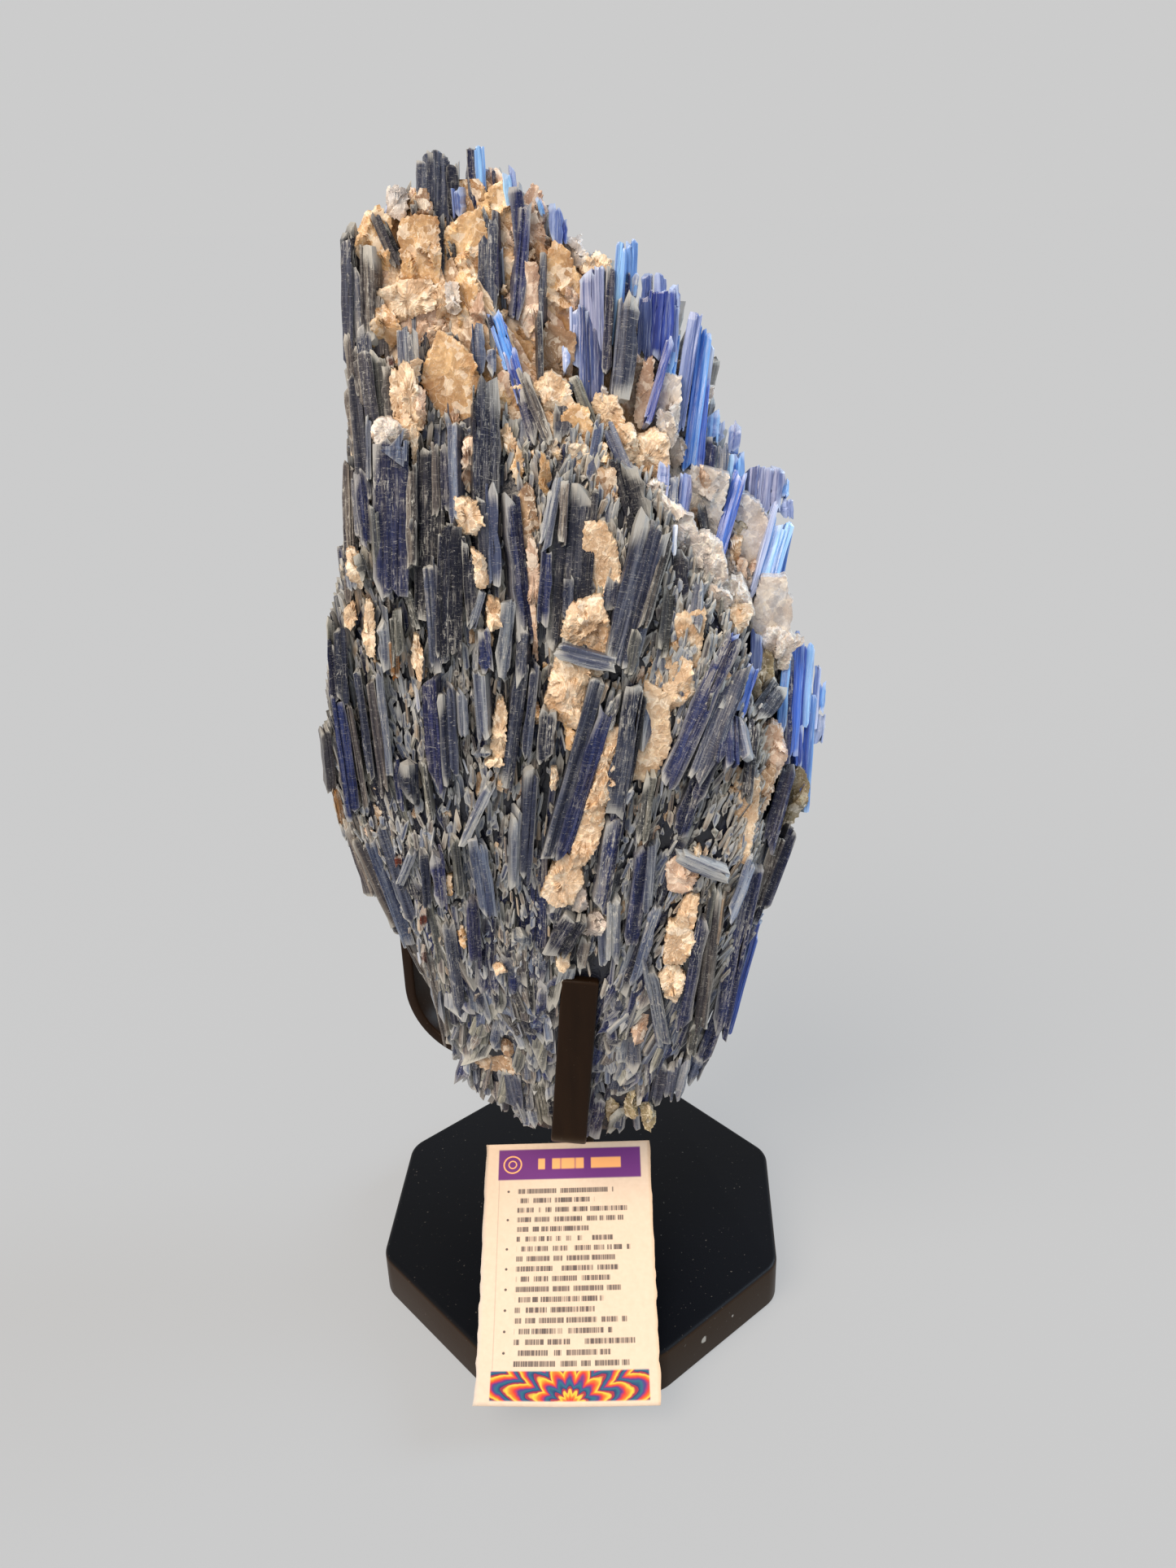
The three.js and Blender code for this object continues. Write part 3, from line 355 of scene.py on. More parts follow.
# Quartz: x, z, depth of the middle of the face, width, height, lean in degrees, finish.
QUARTZ = [
    (-35.5, 387, -4, 6, 13, 5, "brown"), (-43, 390, -3, 5.5, 9, 0, "clear"),
    (-37.8, 375.8, -11, 10.4, 17, 5, "amber"), (-25.3, 376.3, -7, 11.5, 20, 5, "amber"),
    (-13.5, 392.5, 3, 7, 9, 0, "pink"), (-21.5, 391, 2, 7, 9, 0, "amber"),
    (-50.5, 380, -9, 8, 14, 5, "amber"), (-49.7, 357.2, -18, 8, 11, 0, "amber"),
    (-42, 364, -14, 15, 9, 0, "cream"), (-32, 363, -13, 9, 8, 0, "cream"),
    (-28.5, 363.5, -14, 5, 10, 0, "white"), (-21.5, 359.5, -15, 5, 12, 0, "pink"),
    (-3.5, 387.5, 2, 7, 12, 0, "pink"), (7, 375, 4, 9, 8, -35, "clear"), (12, 371, 2, 3.5, 6, 0, "cream"),
    (3, 365, -2, 11, 25, 3, "amber"), (1, 344, -9, 10, 21, 3, "brown"), (-5.5, 362, -7, 5, 24, 0, "pink"),
    (-30.2, 342, -25, 13.5, 23, 0, "amber"), (-47.6, 337, -29, 4.6, 15, 8, "cream"),
    (-44, 336.5, -29, 5.4, 19, -5, "cream"), (-40.6, 333, -30, 3.6, 13, 4, "pink"),
    (-46, 327.5, -32, 7, 7, 0, "cream"), (-42.2, 343, -27, 4, 8, 20, "cream"),
    (-43.5, 320, -34, 2.2, 15, 0, "cream"), (-51.3, 325, -34, 10, 8, 0, "white"),
    (-56, 324.5, -34, 2.4, 4, 0, "pink"), (-27, 316, -34, 4, 22, 3, "pink"),
    (-15, 334, -24, 4.4, 24, 0, "pink"), (-14, 322, -29, 3.5, 8, 0, "cream"),
    (7, 325, -21, 9, 13, 0, "amber"), (5.3, 317, -27, 10, 7, 0, "cream"),
    (15.6, 336, -17, 2.4, 5, 0, "mauve"), (16.8, 331, -19, 7, 8, 0, "cream"),
    (28, 336, -9, 6, 22, 5, "pink"), (34.7, 331, -5, 8, 16, 3, "clear"),
    (37.4, 318.5, -5, 5.5, 10, 0, "mauve"), (28, 316.5, -21, 15, 11, -35, "cream"),
    (32, 305, -25, 7, 9, -30, "white"), (-3.2, 311, -35, 4, 14, 0, "amber"),
    (46.6, 305, -1, 10, 17, 3, "clear"), (21.4, 320.5, -24, 9, 9, 10, "cream"),
    (11.6, 317.5, -26, 8, 9, 0, "amber"), (34.5, 324.5, -12, 6, 14, 4, "clear"),
    (46.8, 283, -15, 12, 16, -25, "white"), (55, 270, -17, 11, 10, -20, "white"),
    (40.5, 291, -22, 6, 11, -35, "white"), (63.5, 272, -6, 8, 12, 5, "clear"),
    (43, 295.5, -6, 4, 10, 0, "brown"), (60.3, 293.5, 2, 13, 18, 5, "clear"),
    (56, 287, -2, 4, 8, 0, "cream"), (38, 296, -27, 7, 18, -38, "white"),
    (50, 270.5, -19, 8, 9, -30, "white"), (56, 264, -18, 9, 7, -20, "cream"),
    (38.9, 254.2, -40, 13, 20, 16, "cream"), (33.5, 240.6, -44, 14, 22, 15, "cream"),
    (28, 224.2, -47, 14, 24, 14, "cream"), (68, 261, -6, 11.5, 28, 0, "clear"),
    (66, 240, -14, 8, 18, 5, "olive"), (63.8, 234, -20, 4, 20, 0, "olive"),
    (-28.5, 299.5, -42, 7, 11, 0, "cream"), (-25.5, 282.3, -45, 5, 13, 0, "cream"),
    (-22, 267, -47, 5, 11, 0, "cream"), (-23.5, 259, -47, 1.6, 6, 0, "cream"),
    (-10, 298, -38, 6.5, 18, 0, "brown"), (-8.5, 280, -43, 3.8, 30, 0, "pink"),
    (-8.9, 262, -46, 2, 22, 0, "pink"), (12.8, 284, -41, 11, 23, 5, "cream"),
    (16.8, 274.3, -43, 6, 10, 0, "cream"), (15.5, 302, -33, 6.5, 20, 0, "brown"),
    (9.5, 262, -48, 13, 14, 0, "cream"), (1.9, 238.5, -49, 11, 20, 5, "cream"),
    (4.5, 247, -50, 11, 9, 0, "cream"), (1, 226, -48, 3, 12, 0, "amber"),
    (13.8, 215, -51, 6.5, 20, 14, "cream"), (10.8, 200, -52, 7, 18, 16, "cream"),
    (5.5, 184, -51, 8, 20, 20, "cream"), (-2.5, 167, -50, 9.5, 18, 30, "cream"),
    (41.5, 153, -47, 6, 16, 12, "cream"), (38, 139, -46, 9, 18, 12, "cream"),
    (35.7, 125, -42, 6.5, 14, 5, "cream"), (39.3, 168.5, -46, 9.5, 13, 0, "pink"),
    (58.5, 192, -38, 12.5, 27, 5, "cream"), (69, 215, -15, 8, 20, 3, "pink"),
    (66.5, 201, -23, 7, 18, 12, "brown"), (58, 205, -35, 6, 11, 0, "brown"),
    (78, 200, -14, 6.5, 19, 18, "olive"), (-22.5, 224, -51, 4.4, 24, 8, "cream"),
    (-25, 214, -51, 6, 3.5, 0, "cream"), (-9.5, 231, -49, 2.4, 8, 0, "amber"),
    (-4.6, 207.5, -51, 2.6, 9, 0, "cream"), (-23.5, 204.5, -50, 2, 5, 0, "cream"),
    (-66, 283, -43, 5, 14, 5, "cream"), (-64, 261, -46, 4, 20, 5, "cream"),
    (-69.5, 267, -43, 4, 9, 15, "cream"), (-48.6, 252, -48, 3.4, 15, 0, "cream"),
    (-56.3, 252, -47.4, 2.6, 14, 0, "orange"), (-26.5, 95, -34, 8, 6, 0, "brown"),
    (-34.5, 96.5, -33, 3, 4, 0, "brown"), (-31, 87, -32, 16, 9, 0, "brown"),
    (12.5, 66, -31, 5, 15, 0, "olive"), (20, 67, -32, 5.5, 14, 4, "olive"),
    (26.5, 63, -31, 5, 12, -6, "olive"), (34, 77.5, -30, 1.8, 9, 0, "orange"),
    (23.5, 103, -38, 6, 16, 3, "pink"), (-3.8, 133, -45, 5, 7, 0, "cream"),
    (-28, 130, -44, 4.5, 4, 0, "cream"), (7, 148, -47, 9, 8, -20, "mauve"),
    (2.8, 160, -48, 6, 12, 0, "mauve"), (-44.3, 166, -46, 2.6, 9, 0, "amber"),
    (-41.5, 143.5, -43, 3.4, 8, 0, "amber"), (45, 179, -46, 2.5, 6, 0, "cream"),
]


# ---------------------------------------------------------------- shader expressions

class Wire:
    """A node's output, so that sums on it are written as plain expressions."""

    def __init__(self, kit, socket):
        self.kit = kit
        self.socket = socket

    def math(self, operation, *others):
        values = dict(enumerate([self, *others]))
        return self.kit.add("ShaderNodeMath", {"operation": operation}, values)

    def __add__(self, other):
        return self.math("ADD", other)

    __radd__ = __add__

    def __sub__(self, other):
        return self.math("SUBTRACT", other)

    def __rsub__(self, other):
        return self.kit.add("ShaderNodeMath", {"operation": "SUBTRACT"}, {0: other, 1: self})

    def __mul__(self, other):
        return self.math("MULTIPLY", other)

    __rmul__ = __mul__

    def __pow__(self, other):
        return self.math("POWER", other)

    def over(self, low, high):
        """0 below low, 1 above high, smooth between."""
        sockets = {"Value": self, "From Min": low, "From Max": high}
        return self.kit.add("ShaderNodeMapRange", {"interpolation_type": "SMOOTHSTEP"}, sockets)

    def within(self, low, high, soft=0.004):
        """1 between low and high, 0 outside."""
        return self.over(low - soft, low + soft) * (1 - self.over(high - soft, high + soft))


class Kit:
    """A new material with its nodes."""

    def __init__(self, name):
        self.material = bpy.data.materials.new(name)
        self.material.use_nodes = True
        self.tree = self.material.node_tree
        self.tree.nodes.clear()

    def add(self, kind, settings=None, sockets=None, output=0):
        node = self.tree.nodes.new(kind)
        for key, value in (settings or {}).items():
            if key == "stops":
                for place, colour in value[2:]:
                    node.color_ramp.elements.new(place)
                for element, (place, colour) in zip(node.color_ramp.elements, sorted(value)):
                    element.position = place
                    element.color = (*colour, 1)
            else:
                setattr(node, key, value)
        for key, value in (sockets or {}).items():
            self.join(node.inputs[key], value)
        return Wire(self, node.outputs[output])

    def join(self, socket, value):
        if isinstance(value, Wire):
            self.tree.links.new(value.socket, socket)
        elif isinstance(value, (float, int)):
            socket.default_value = value
        else:
            value = tuple(float(v) for v in value)
            socket.default_value = value if len(value) == len(socket.default_value) else (*value, 1.0)

    def attribute(self, name, output="Fac"):
        return self.add("ShaderNodeAttribute", {"attribute_name": name}, output=output)

    def scaled(self, vector, scale):
        return self.add("ShaderNodeVectorMath", {"operation": "MULTIPLY"}, {0: vector, 1: scale})

    def noise(self, vector, scale, detail=3.0, rough=0.5, warp=0.0):
        """Noise from 0 to 1. A scale of three numbers stretches it."""
        if not isinstance(scale, (float, int)):
            vector, scale = self.scaled(vector, scale), 1.0
        sockets = {
            "Vector": vector, "Scale": scale, "Detail": detail, "Roughness": rough, "Distortion": warp}
        return self.add("ShaderNodeTexNoise", None, sockets)

    def mix(self, share, first, second):
        """The first colour at share 0, the second at share 1."""
        sockets = {0: share, 6: first, 7: second}
        return self.add("ShaderNodeMix", {"data_type": "RGBA"}, sockets, output=2)

    def place(self):
        """Where the shaded point is, in metres."""
        return self.add("ShaderNodeTexCoord", output="Object")

    def sharpness(self):
        """Over one half on edges that stand out."""
        return self.add("ShaderNodeNewGeometry", output=7)

    def bump(self, height, distance, strength=1.0):
        sockets = {"Height": height, "Distance": distance, "Strength": strength}
        return self.add("ShaderNodeBump", None, sockets)

    def finish(self, **values):
        shader = self.tree.nodes.new("ShaderNodeBsdfPrincipled")
        for key, value in values.items():
            self.join(shader.inputs[key.replace("_", " ")], value)
        output = self.tree.nodes.new("ShaderNodeOutputMaterial")
        self.tree.links.new(shader.outputs[0], output.inputs["Surface"])
        return self.material


# ---------------------------------------------------------------- materials of the specimen

FROST = linear((206, 206, 200))
DUST = linear((164, 160, 152))
GLOOM = linear((7, 8, 14))
ICE = linear((204, 220, 246))
CANDLE = linear((255, 240, 218))
FACET_HIGHLIGHT = linear((255, 246, 230))
GLINT = linear((255, 250, 240))
KYANITE_IOR, QUARTZ_IOR = 1.6, 1.54


def lath_inputs(kit):
    """What each lath's points carry: their tint, their place on the lath and how pale its ends and edges
    are, partly from wear and partly a painted highlight.
    """
    return kit.attribute("tint", "Color"), kit.attribute("grain", "Vector"), kit.attribute("wear")


def kyanite_material():
    """Fibrous blades: streaks and flecks run along each lath, ends and edges are pale, partly frayed and
    partly a painted highlight, faces pearly.
    """
    kit = Kit("fibrous_kyanite")
    tint, grain, wear = lath_inputs(kit)
    band = kit.noise(grain, (0.55, 0.018, 1.0), 3.0, 0.55, 0.2)
    fibre = kit.noise(grain, (1.7, 0.05, 1.0), 4.0, 0.62, 0.2)
    hair = kit.noise(grain, (4.2, 0.13, 1.0), 3.0, 0.6, 0.2)
    fleck = kit.noise(grain, (2.6, 0.42, 1.0), 3.0, 0.62, 0.5)
    cloud = kit.noise(kit.place(), 130.0, 4.0, 0.62, 0.3)
    area = kit.noise(kit.place(), 38.0, 2.0, 0.5).over(0.42, 0.58)
    rough = kit.noise(grain, (0.0, 0.012, 1.0), 1.0).over(0.36, 0.60)
    crack = kit.noise(grain, (0.16, 1.1, 1.0), 2.0, 0.5, 0.5)
    dim, lit = kit.scaled(tint, (0.36, 0.38, 0.52)), kit.scaled(tint, (1.25, 1.24, 1.24))
    banded = kit.mix(band.over(0.36, 0.62), dim, lit)
    fibrous = kit.mix(fibre.over(0.56, 0.38) * 0.85, banded, kit.scaled(tint, (0.16, 0.18, 0.32)))
    gloomy = kit.mix(hair.over(0.42, 0.32) * 0.75, fibrous, GLOOM)
    patch = (cloud * 0.6 + band * 0.4).over(0.44, 0.56) * (0.3 + 0.7 * area)
    dust = fibre.over(0.48, 0.60) * patch * (0.25 + 0.55 * rough)
    dusty = kit.mix(dust, gloomy, kit.mix(0.25, DUST, tint))
    marks = fleck.over(0.56, 0.63) * (0.12 + 0.88 * patch) * (0.2 + 0.7 * rough)
    flecked = kit.mix(marks, dusty, kit.mix(0.12, FROST, tint))
    lined = kit.mix(crack.within(0.488, 0.497, 0.004) * 0.45, flecked, FROST)
    # Pale ends and edges: fraying, and partly a painted highlight where light catches them.
    fray_and_highlight_share = (wear * (0.35 + 1.1 * hair)).over(0.22, 0.85) * 0.85
    frayed_and_highlit = kit.mix(fray_and_highlight_share, lined, kit.mix(0.3, FROST, tint))
    height = fibre * 0.5 + hair * 0.3 + fleck * 0.2
    return kit.finish(
        Base_Color=frayed_and_highlit, Roughness=0.22 + 0.34 * hair, Normal=kit.bump(height, 0.0005, 0.6),
        Specular_IOR_Level=0.24, IOR=KYANITE_IOR)


def clear_kyanite_material():
    """The bluest blades: clear colour, glassy faces with pale hairs, and bright edges that are a painted
    highlight, partly wear.
    """
    kit = Kit("clear_kyanite")
    tint, grain, wear = lath_inputs(kit)
    band = kit.noise(grain, (0.5, 0.02, 1.0), 3.0, 0.55, 0.2)
    fibre = kit.noise(grain, (1.5, 0.04, 1.0), 4.0, 0.62, 0.2)
    hair = kit.noise(grain, (4.0, 0.10, 1.0), 3.0, 0.6, 0.2)
    dim, lit = kit.scaled(tint, (0.42, 0.50, 0.70)), kit.scaled(tint, (1.4, 1.32, 1.2))
    banded = kit.mix(band.over(0.36, 0.62), dim, lit)
    deep = kit.mix(fibre.over(0.50, 0.36) * 0.7, banded, kit.scaled(tint, (0.22, 0.28, 0.50)))
    hairy = kit.mix(hair.over(0.52, 0.66) * 0.45, deep, kit.mix(0.4, ICE, tint))
    # Painted highlight on the ends and edges, partly wear.
    edge_highlighted = kit.mix((wear * (0.5 + 0.9 * hair)).over(0.25, 0.8) * 0.7, hairy, kit.mix(0.2, ICE, tint))
    height = fibre * 0.6 + hair * 0.4
    return kit.finish(
        Base_Color=edge_highlighted, Roughness=0.10 + 0.24 * hair, Normal=kit.bump(height, 0.0004, 0.45),
        Specular_IOR_Level=0.5, IOR=KYANITE_IOR)


def quartz_material(name, rough, see_through, grit):
    """Broken quartz: sugary milky lumps, smoother amber ones, or clear ones with veils inside."""
    kit = Kit(name)
    tint = kit.attribute("tint", "Color")
    place = kit.place()
    veil = kit.noise(place, 120.0, 5.0, 0.62, 0.6)
    sugar = kit.noise(place, 620.0, 3.0, 0.62)
    spark = kit.noise(place, 1500.0, 2.0, 0.6)
    wobble = kit.add("ShaderNodeTexNoise", None, {"Vector": place, "Scale": 260.0, "Detail": 3.0}, output=1)
    shifts = {0: wobble, 1: (0.005, 0.005, 0.005), 2: place}
    moved = kit.add("ShaderNodeVectorMath", {"operation": "MULTIPLY_ADD"}, shifts)
    stretched = kit.scaled(moved, (1.3, 1.3, 0.8))
    cells = kit.add(
        "ShaderNodeTexVoronoi", {"feature": "DISTANCE_TO_EDGE"}, {"Vector": stretched, "Scale": 330.0})
    glints = kit.add("ShaderNodeTexVoronoi", {"feature": "F1"}, {"Vector": moved, "Scale": 380.0}, output=1)
    # Dark stone between the blades takes no pale sugar specks, painted glints or painted highlights on the
    # ridges.
    light_stone = kit.attribute("tint").over(0.02, 0.12)
    deep = kit.scaled(tint, (0.68, 0.60, 0.52))
    clouded = kit.mix(veil.over(0.34, 0.60), deep, kit.scaled(tint, (1.08, 1.05, 1.0)))
    # Painted facet shade and highlight: cells are darker or paler at random, as if turned from or towards
    # the light.
    shaded = kit.mix(glints.over(0.52, 0.30) * 0.55, clouded, kit.scaled(tint, (0.52, 0.43, 0.36)))
    pale = kit.mix(glints.over(0.58, 0.74) * light_stone * 0.5, shaded, FACET_HIGHLIGHT)
    bright = kit.mix(sugar.over(0.50, 0.72) * light_stone * (0.15 + 0.3 * grit), pale, CANDLE)
    dark = kit.mix(sugar.over(0.46, 0.30) * 0.35, bright, kit.scaled(tint, (0.42, 0.34, 0.28)))
    stain = kit.noise(place, 70.0, 3.0, 0.55, 0.4)
    # Painted shade in the hollows of the cells, which the bump sinks.
    shaded_hollows = kit.mix(cells.over(0.05, 0.28) * (0.62 * grit), dark, kit.scaled(tint, (0.64, 0.56, 0.5)))
    stained = kit.mix(stain.over(0.5, 0.66) * 0.6, shaded_hollows, kit.scaled(tint, (0.62, 0.5, 0.4)))
    # Painted highlight along the ridges between the cells, in patches.
    seam_highlight_share = (1 - cells.over(0.0, 0.05)) * veil.over(0.4, 0.6) * light_stone * 0.5
    seam_highlights = kit.mix(seam_highlight_share, stained, CANDLE)
    sparkling = kit.mix(spark.over(0.66, 0.72) * light_stone * 0.7, seam_highlights, GLINT)
    height = sugar * (0.45 * grit) - cells.over(0.0, 0.2) * (0.5 * grit) + veil * 0.5
    return kit.finish(
        Base_Color=sparkling, Roughness=rough + 0.2 * sugar, Normal=kit.bump(height, 0.0006, 0.5),
        IOR=QUARTZ_IOR, Transmission_Weight=see_through,
        Subsurface_Weight=0.12 if see_through == 0 else 0.0,
        Subsurface_Radius=(1.0, 0.7, 0.5), Subsurface_Scale=0.004)


# ---------------------------------------------------------------- mesh tools

def unit(v):
    return v / np.maximum(np.linalg.norm(v, axis=-1, keepdims=True), 1e-9)


def new_object(name, verts, faces, material, smooth=False):
    mesh = bpy.data.meshes.new(name)
    mesh.from_pydata((np.asarray(verts) * MM).tolist(), [], faces)
    mesh.validate()
    mesh.update()
    mesh.materials.append(material)
    if smooth:
        mesh.shade_smooth()
    thing = bpy.data.objects.new(name, mesh)
    bpy.context.scene.collection.objects.link(thing)
    return thing


def paint_points(thing, **fields):
    """Writes named values on the points: numbers, colours or vectors."""
    for name, values in fields.items():
        values = np.asarray(values, np.float32)
        kind, key = ("FLOAT_VECTOR", "vector") if values.ndim == 2 else ("FLOAT", "value")
        if name == "tint":
            values = np.concatenate([values, np.ones((len(values), 1), np.float32)], axis=1)
            kind, key = "FLOAT_COLOR", "color"
        thing.data.attributes.new(name, kind, "POINT").data.foreach_set(key, values.ravel())


class Laths:
    """Collects thin laths, each with two broken tips, and makes one mesh of them."""
    POINTS = 5
    LONGEST_TIP = 0.36
    WIDEST_FALL = 4.0

    def __init__(self):
        self.rows = []

    def add(self, low, top, out, wide, deep, tint, ends, tips, slope, wear,
            grain=(0.0, None), rims=(1.0, 1.0)):
        """low, top: ends of the middle line of the face. out: the way the face looks.
        ends: how wide the two ends are left. tips: how long the narrowing is, in widths.
        grain: how far the lath lies from the middle of its blade, and the blade's own mark.
        rims: how far the left and right edges are pale, partly from wear and partly a painted highlight."""
        across, mark = grain
        mark = draw.uniform(0, 900) if mark is None else mark
        self.rows.append(
            (*low, *top, *out, wide, deep, *tint, *ends, *tips, slope, wear, across, mark, *rims))

    def shape(self, rows, rings):
        """All the points, their places on their laths and how worn they are."""
        count, points = len(rows), self.POINTS
        low, top, out = rows[:, 0:3], rows[:, 3:6], rows[:, 6:9]
        wide, deep = rows[:, 9, None], rows[:, 10, None, None]
        low_end, top_end, low_tip, top_tip, slope, wear, across, mark, left_rim, right_rim = rows[:, 14:].T
        along = unit(top - low)
        length = np.linalg.norm(top - low, axis=1)[:, None]
        out = unit(out - along * np.sum(out * along, axis=1, keepdims=True))
        side = np.cross(along, out)
        first = np.minimum(wide * low_tip[:, None], length * self.LONGEST_TIP)
        second = np.minimum(wide * top_tip[:, None], length * self.LONGEST_TIP)
        inner = np.linspace(0, 1, rings - 2)[None, :]
        spots = np.concatenate([0 * length, first + inner * (length - first - second), length], axis=1)
        scale = np.ones((count, rings))
        scale[:, 0], scale[:, -1] = low_end, top_end
        scale[:, 1:-1] *= 1 + draw.normal(0, 0.12, (count, rings - 2))
        shift = draw.normal(0, 0.05, (count, rings))
        shift[:, 0] = draw.uniform(-0.5, 0.5, count) * (1 - low_end)
        shift[:, -1] = draw.uniform(-0.5, 0.5, count) * (1 - top_end)
        crest = draw.uniform(-0.3, 0.3, count)
        zero, edge, root = np.zeros(count), np.full(count, 0.5), np.full(count, 0.38)
        section = np.stack([-edge, crest, edge, root, -root], axis=1)
        fall = np.stack([draw.uniform(0.02, 0.22, count), zero, draw.uniform(0.02, 0.22, count)], axis=1)
        u = (section[:, None, :] * scale[:, :, None] + shift[:, :, None]) * wide[:, :, None]
        v = np.empty((count, rings, points))
        v[:, :, :3] = fall[:, None, :] * np.minimum(wide, self.WIDEST_FALL)[:, :, None]
        v[:, :, 3:] = deep
        v[:, :, :3] += draw.normal(0, 0.05, (count, rings, 3))
        v[:, [0, -1], :3] += 0.06 * np.minimum(wide, self.WIDEST_FALL)[:, :, None]
        v[:, [0, -1], 3:] *= 0.75
        turned = np.zeros(rings)
        turned[[0, -1]] = -1.0, 1.0
        s = spots[:, :, None] + turned[None, :, None] * slope[:, None, None] * u
        s[:, [0, -1]] += draw.normal(0, 0.16, (count, 2, points)) * wide[:, :, None]
        place = (low[:, None, None, :] + along[:, None, None, :] * s[..., None]
                 + side[:, None, None, :] * u[..., None] - out[:, None, None, :] * v[..., None])
        # Pale frayed ends, on some laths a long way down, and pale edges; both are partly a painted
        # highlight where light catches them.
        ends = np.zeros((count, rings))
        ends[:, [0, -1]] = 1.0
        ends[:, 1] = 0.25
        ends[:, -2] = 0.25 + 0.6 * draw.uniform(0, 1, count) ** 3
        rims = np.stack([left_rim, zero, right_rim, right_rim * 0.6, left_rim * 0.6], axis=1)[:, None, :]
        worn_and_highlit = ends[:, :, None] * wear[:, None, None] + rims * 0.62 * draw.uniform(0.3, 1.0, (count, 1, 1))
        marks = np.broadcast_to(mark[:, None, None], u.shape)
        grain = np.stack([u + v * 0.6 + across[:, None, None], s, marks], axis=-1)
        return place.reshape(-1, 3), grain.reshape(-1, 3), worn_and_highlit.reshape(-1)

    def build(self, name, material, rings):
        rows = np.array(self.rows)
        place, grain, worn_and_highlit = self.shape(rows, rings)
        count, points = len(rows), self.POINTS
        i = np.arange(points)
        ring = np.stack([i, (i + 1) % points, (i + 1) % points + points, i + points], axis=1)
        one = (ring[None] + (np.arange(rings - 1) * points)[:, None, None]).reshape(-1, 4)
        per = rings * points
        quads = (one[None] + (np.arange(count) * per)[:, None, None]).reshape(-1, 4).tolist()
        starts = (np.arange(count) * per)[:, None]
        caps = (starts + i[::-1][None]).tolist() + (starts + per - points + i[None]).tolist()
        thing = new_object(name, place, quads + caps, material)
        paint_points(thing, tint=rows[:, 11:14].repeat(per, axis=0), grain=grain, wear=worn_and_highlit)
        return thing


# ---------------------------------------------------------------- blades with a place of their own

# Widths of the laths in fibrous and in clear blades, and how deep they go into the stone.
LATH_PITCH, CLEAR_PITCH, ROOT_DEPTH = 2.7, 1.5, 6.0
# How far a blade stands off the masses, and the share of its face that is kept clear of others.
STAND_OFF, KEPT_CLEAR = 0.5, 0.96
# How far blades turn from facing the front, in radians.
YAW_SPREAD = 0.16
# Crown blades shorter than this have a foot that goes further down and back.
SHORT_BLADE, FOOT_RUN, FOOT_DEPTH = 40, 0.15, 2.6


def tone(finish, share):
    """A colour of a blade's finish: shaded at share 0, clean at share 1."""
    dark, pale = BLADE_FINISHES[finish]
    return dark + (pale - dark) * np.clip(share, 0, 1)


def bundle(laths, low, top, out, wide, finish, end="broken"):
    """One blade as a bundle of thin laths that break off at their own heights."""
    along = unit(top - low)
    length = np.linalg.norm(top - low)
    out = unit(out - along * out.dot(along))
    side = np.cross(along, out)
    rounded, sharp = end == "round", end not in ("round", "square")
    pitch = (CLEAR_PITCH if finish in CLEAR_FINISHES else LATH_PITCH) * (0.45 if rounded else 1)
    count = max(2, round(wide / pitch))
    shares = draw.dirichlet([1.6] * count) * wide
    edges = np.concatenate([[0], np.cumsum(shares)]) - wide / 2
    base, mark = draw.normal(0.48, 0.2), draw.uniform(0, 900)
    steps = draw.normal(0, 0.15, count) * (0.4 if rounded else 1)
    shades = draw.normal(0, 0.17 if finish in ("azure", "royal", "lilac", "white") else 0.10, count)
    for i in range(count):
        middle = (edges[i] + edges[i + 1]) / 2
        place = 2 * middle / wide
        drop = {
            "round": (1 - math.sqrt(max(0, 1 - place ** 2))) * wide * 0.8,
            "point": abs(place) * wide * 1.1,
            "slant": (0.5 + place / 2) * wide * 0.55,
            "square": 0.0,
            "broken": min(draw.exponential(0.05 * length), 0.2 * length),
        }[end] + abs(draw.normal(0, 0.3)) * (not rounded)
        rise = min(draw.exponential(0.05 * length), 0.2 * length)
        sink = steps[max(0, i - 1):i + 1].sum() - 0.05 * abs(place) ** 2 * wide
        shift = side * middle + out * sink
        facing = out + side * (draw.normal(0, 0.07) + 0.10 * place)
        laths.add(
            low + shift + along * rise, top + shift - along * drop, facing,
            shares[i] * 1.08 + 0.2, ROOT_DEPTH * draw.uniform(0.8, 1.2), tone(finish, base + shades[i]),
            ends=(draw.uniform(0.1, 1.0), draw.uniform(0.35, 1.0) if sharp else draw.uniform(0.75, 1)),
            tips=(draw.uniform(0.4, 1.8), draw.uniform(0.3, 1.2) if sharp else 0.3),
            slope=draw.normal(0, 0.5), wear=draw.uniform(0.3, 1.0), grain=(middle, mark),
            rims=(1.0 if i == 0 else 0.1, 1.0 if i == count - 1 else 0.1))


class Sheet:
    """A chart of the plane y = 0 that says where something already stands, as seen from EYE."""
    STEP, FILL_STEP = 0.5, 0.06
    LEFT, LOW = -100.0, 30.0
    CELLS = (420, 760)

    def __init__(self):
        self.filled = np.zeros(self.CELLS, bool)

    def cells(self, x, z):
        i = np.clip(((np.asarray(x) - self.LEFT) / self.STEP).astype(int), 0, self.filled.shape[0] - 1)
        j = np.clip(((np.asarray(z) - self.LOW) / self.STEP).astype(int), 0, self.filled.shape[1] - 1)
        return i, j

    def fill(self, x, z, along, across):
        """Marks a slanted box round (x, z): along and across are its half sides as vectors."""
        steps = np.arange(-1, 1.01, self.FILL_STEP)
        p, q = np.meshgrid(steps, steps)
        self.filled[self.cells(x + p * along[0] + q * across[0], z + p * along[1] + q * across[1])] = True

    def fill_box(self, x, z, wide, high, tilt, share=0.5):
        """Marks a box that leans to the right by tilt: share is how much of its size counts each way."""
        rise, run = math.cos(tilt), math.sin(tilt)
        self.fill(x, z, np.array([run, rise]) * high * share, np.array([rise, -run]) * wide * share)

    def holds(self, x, z):
        return self.filled[self.cells(x, z)]


taken = Sheet()


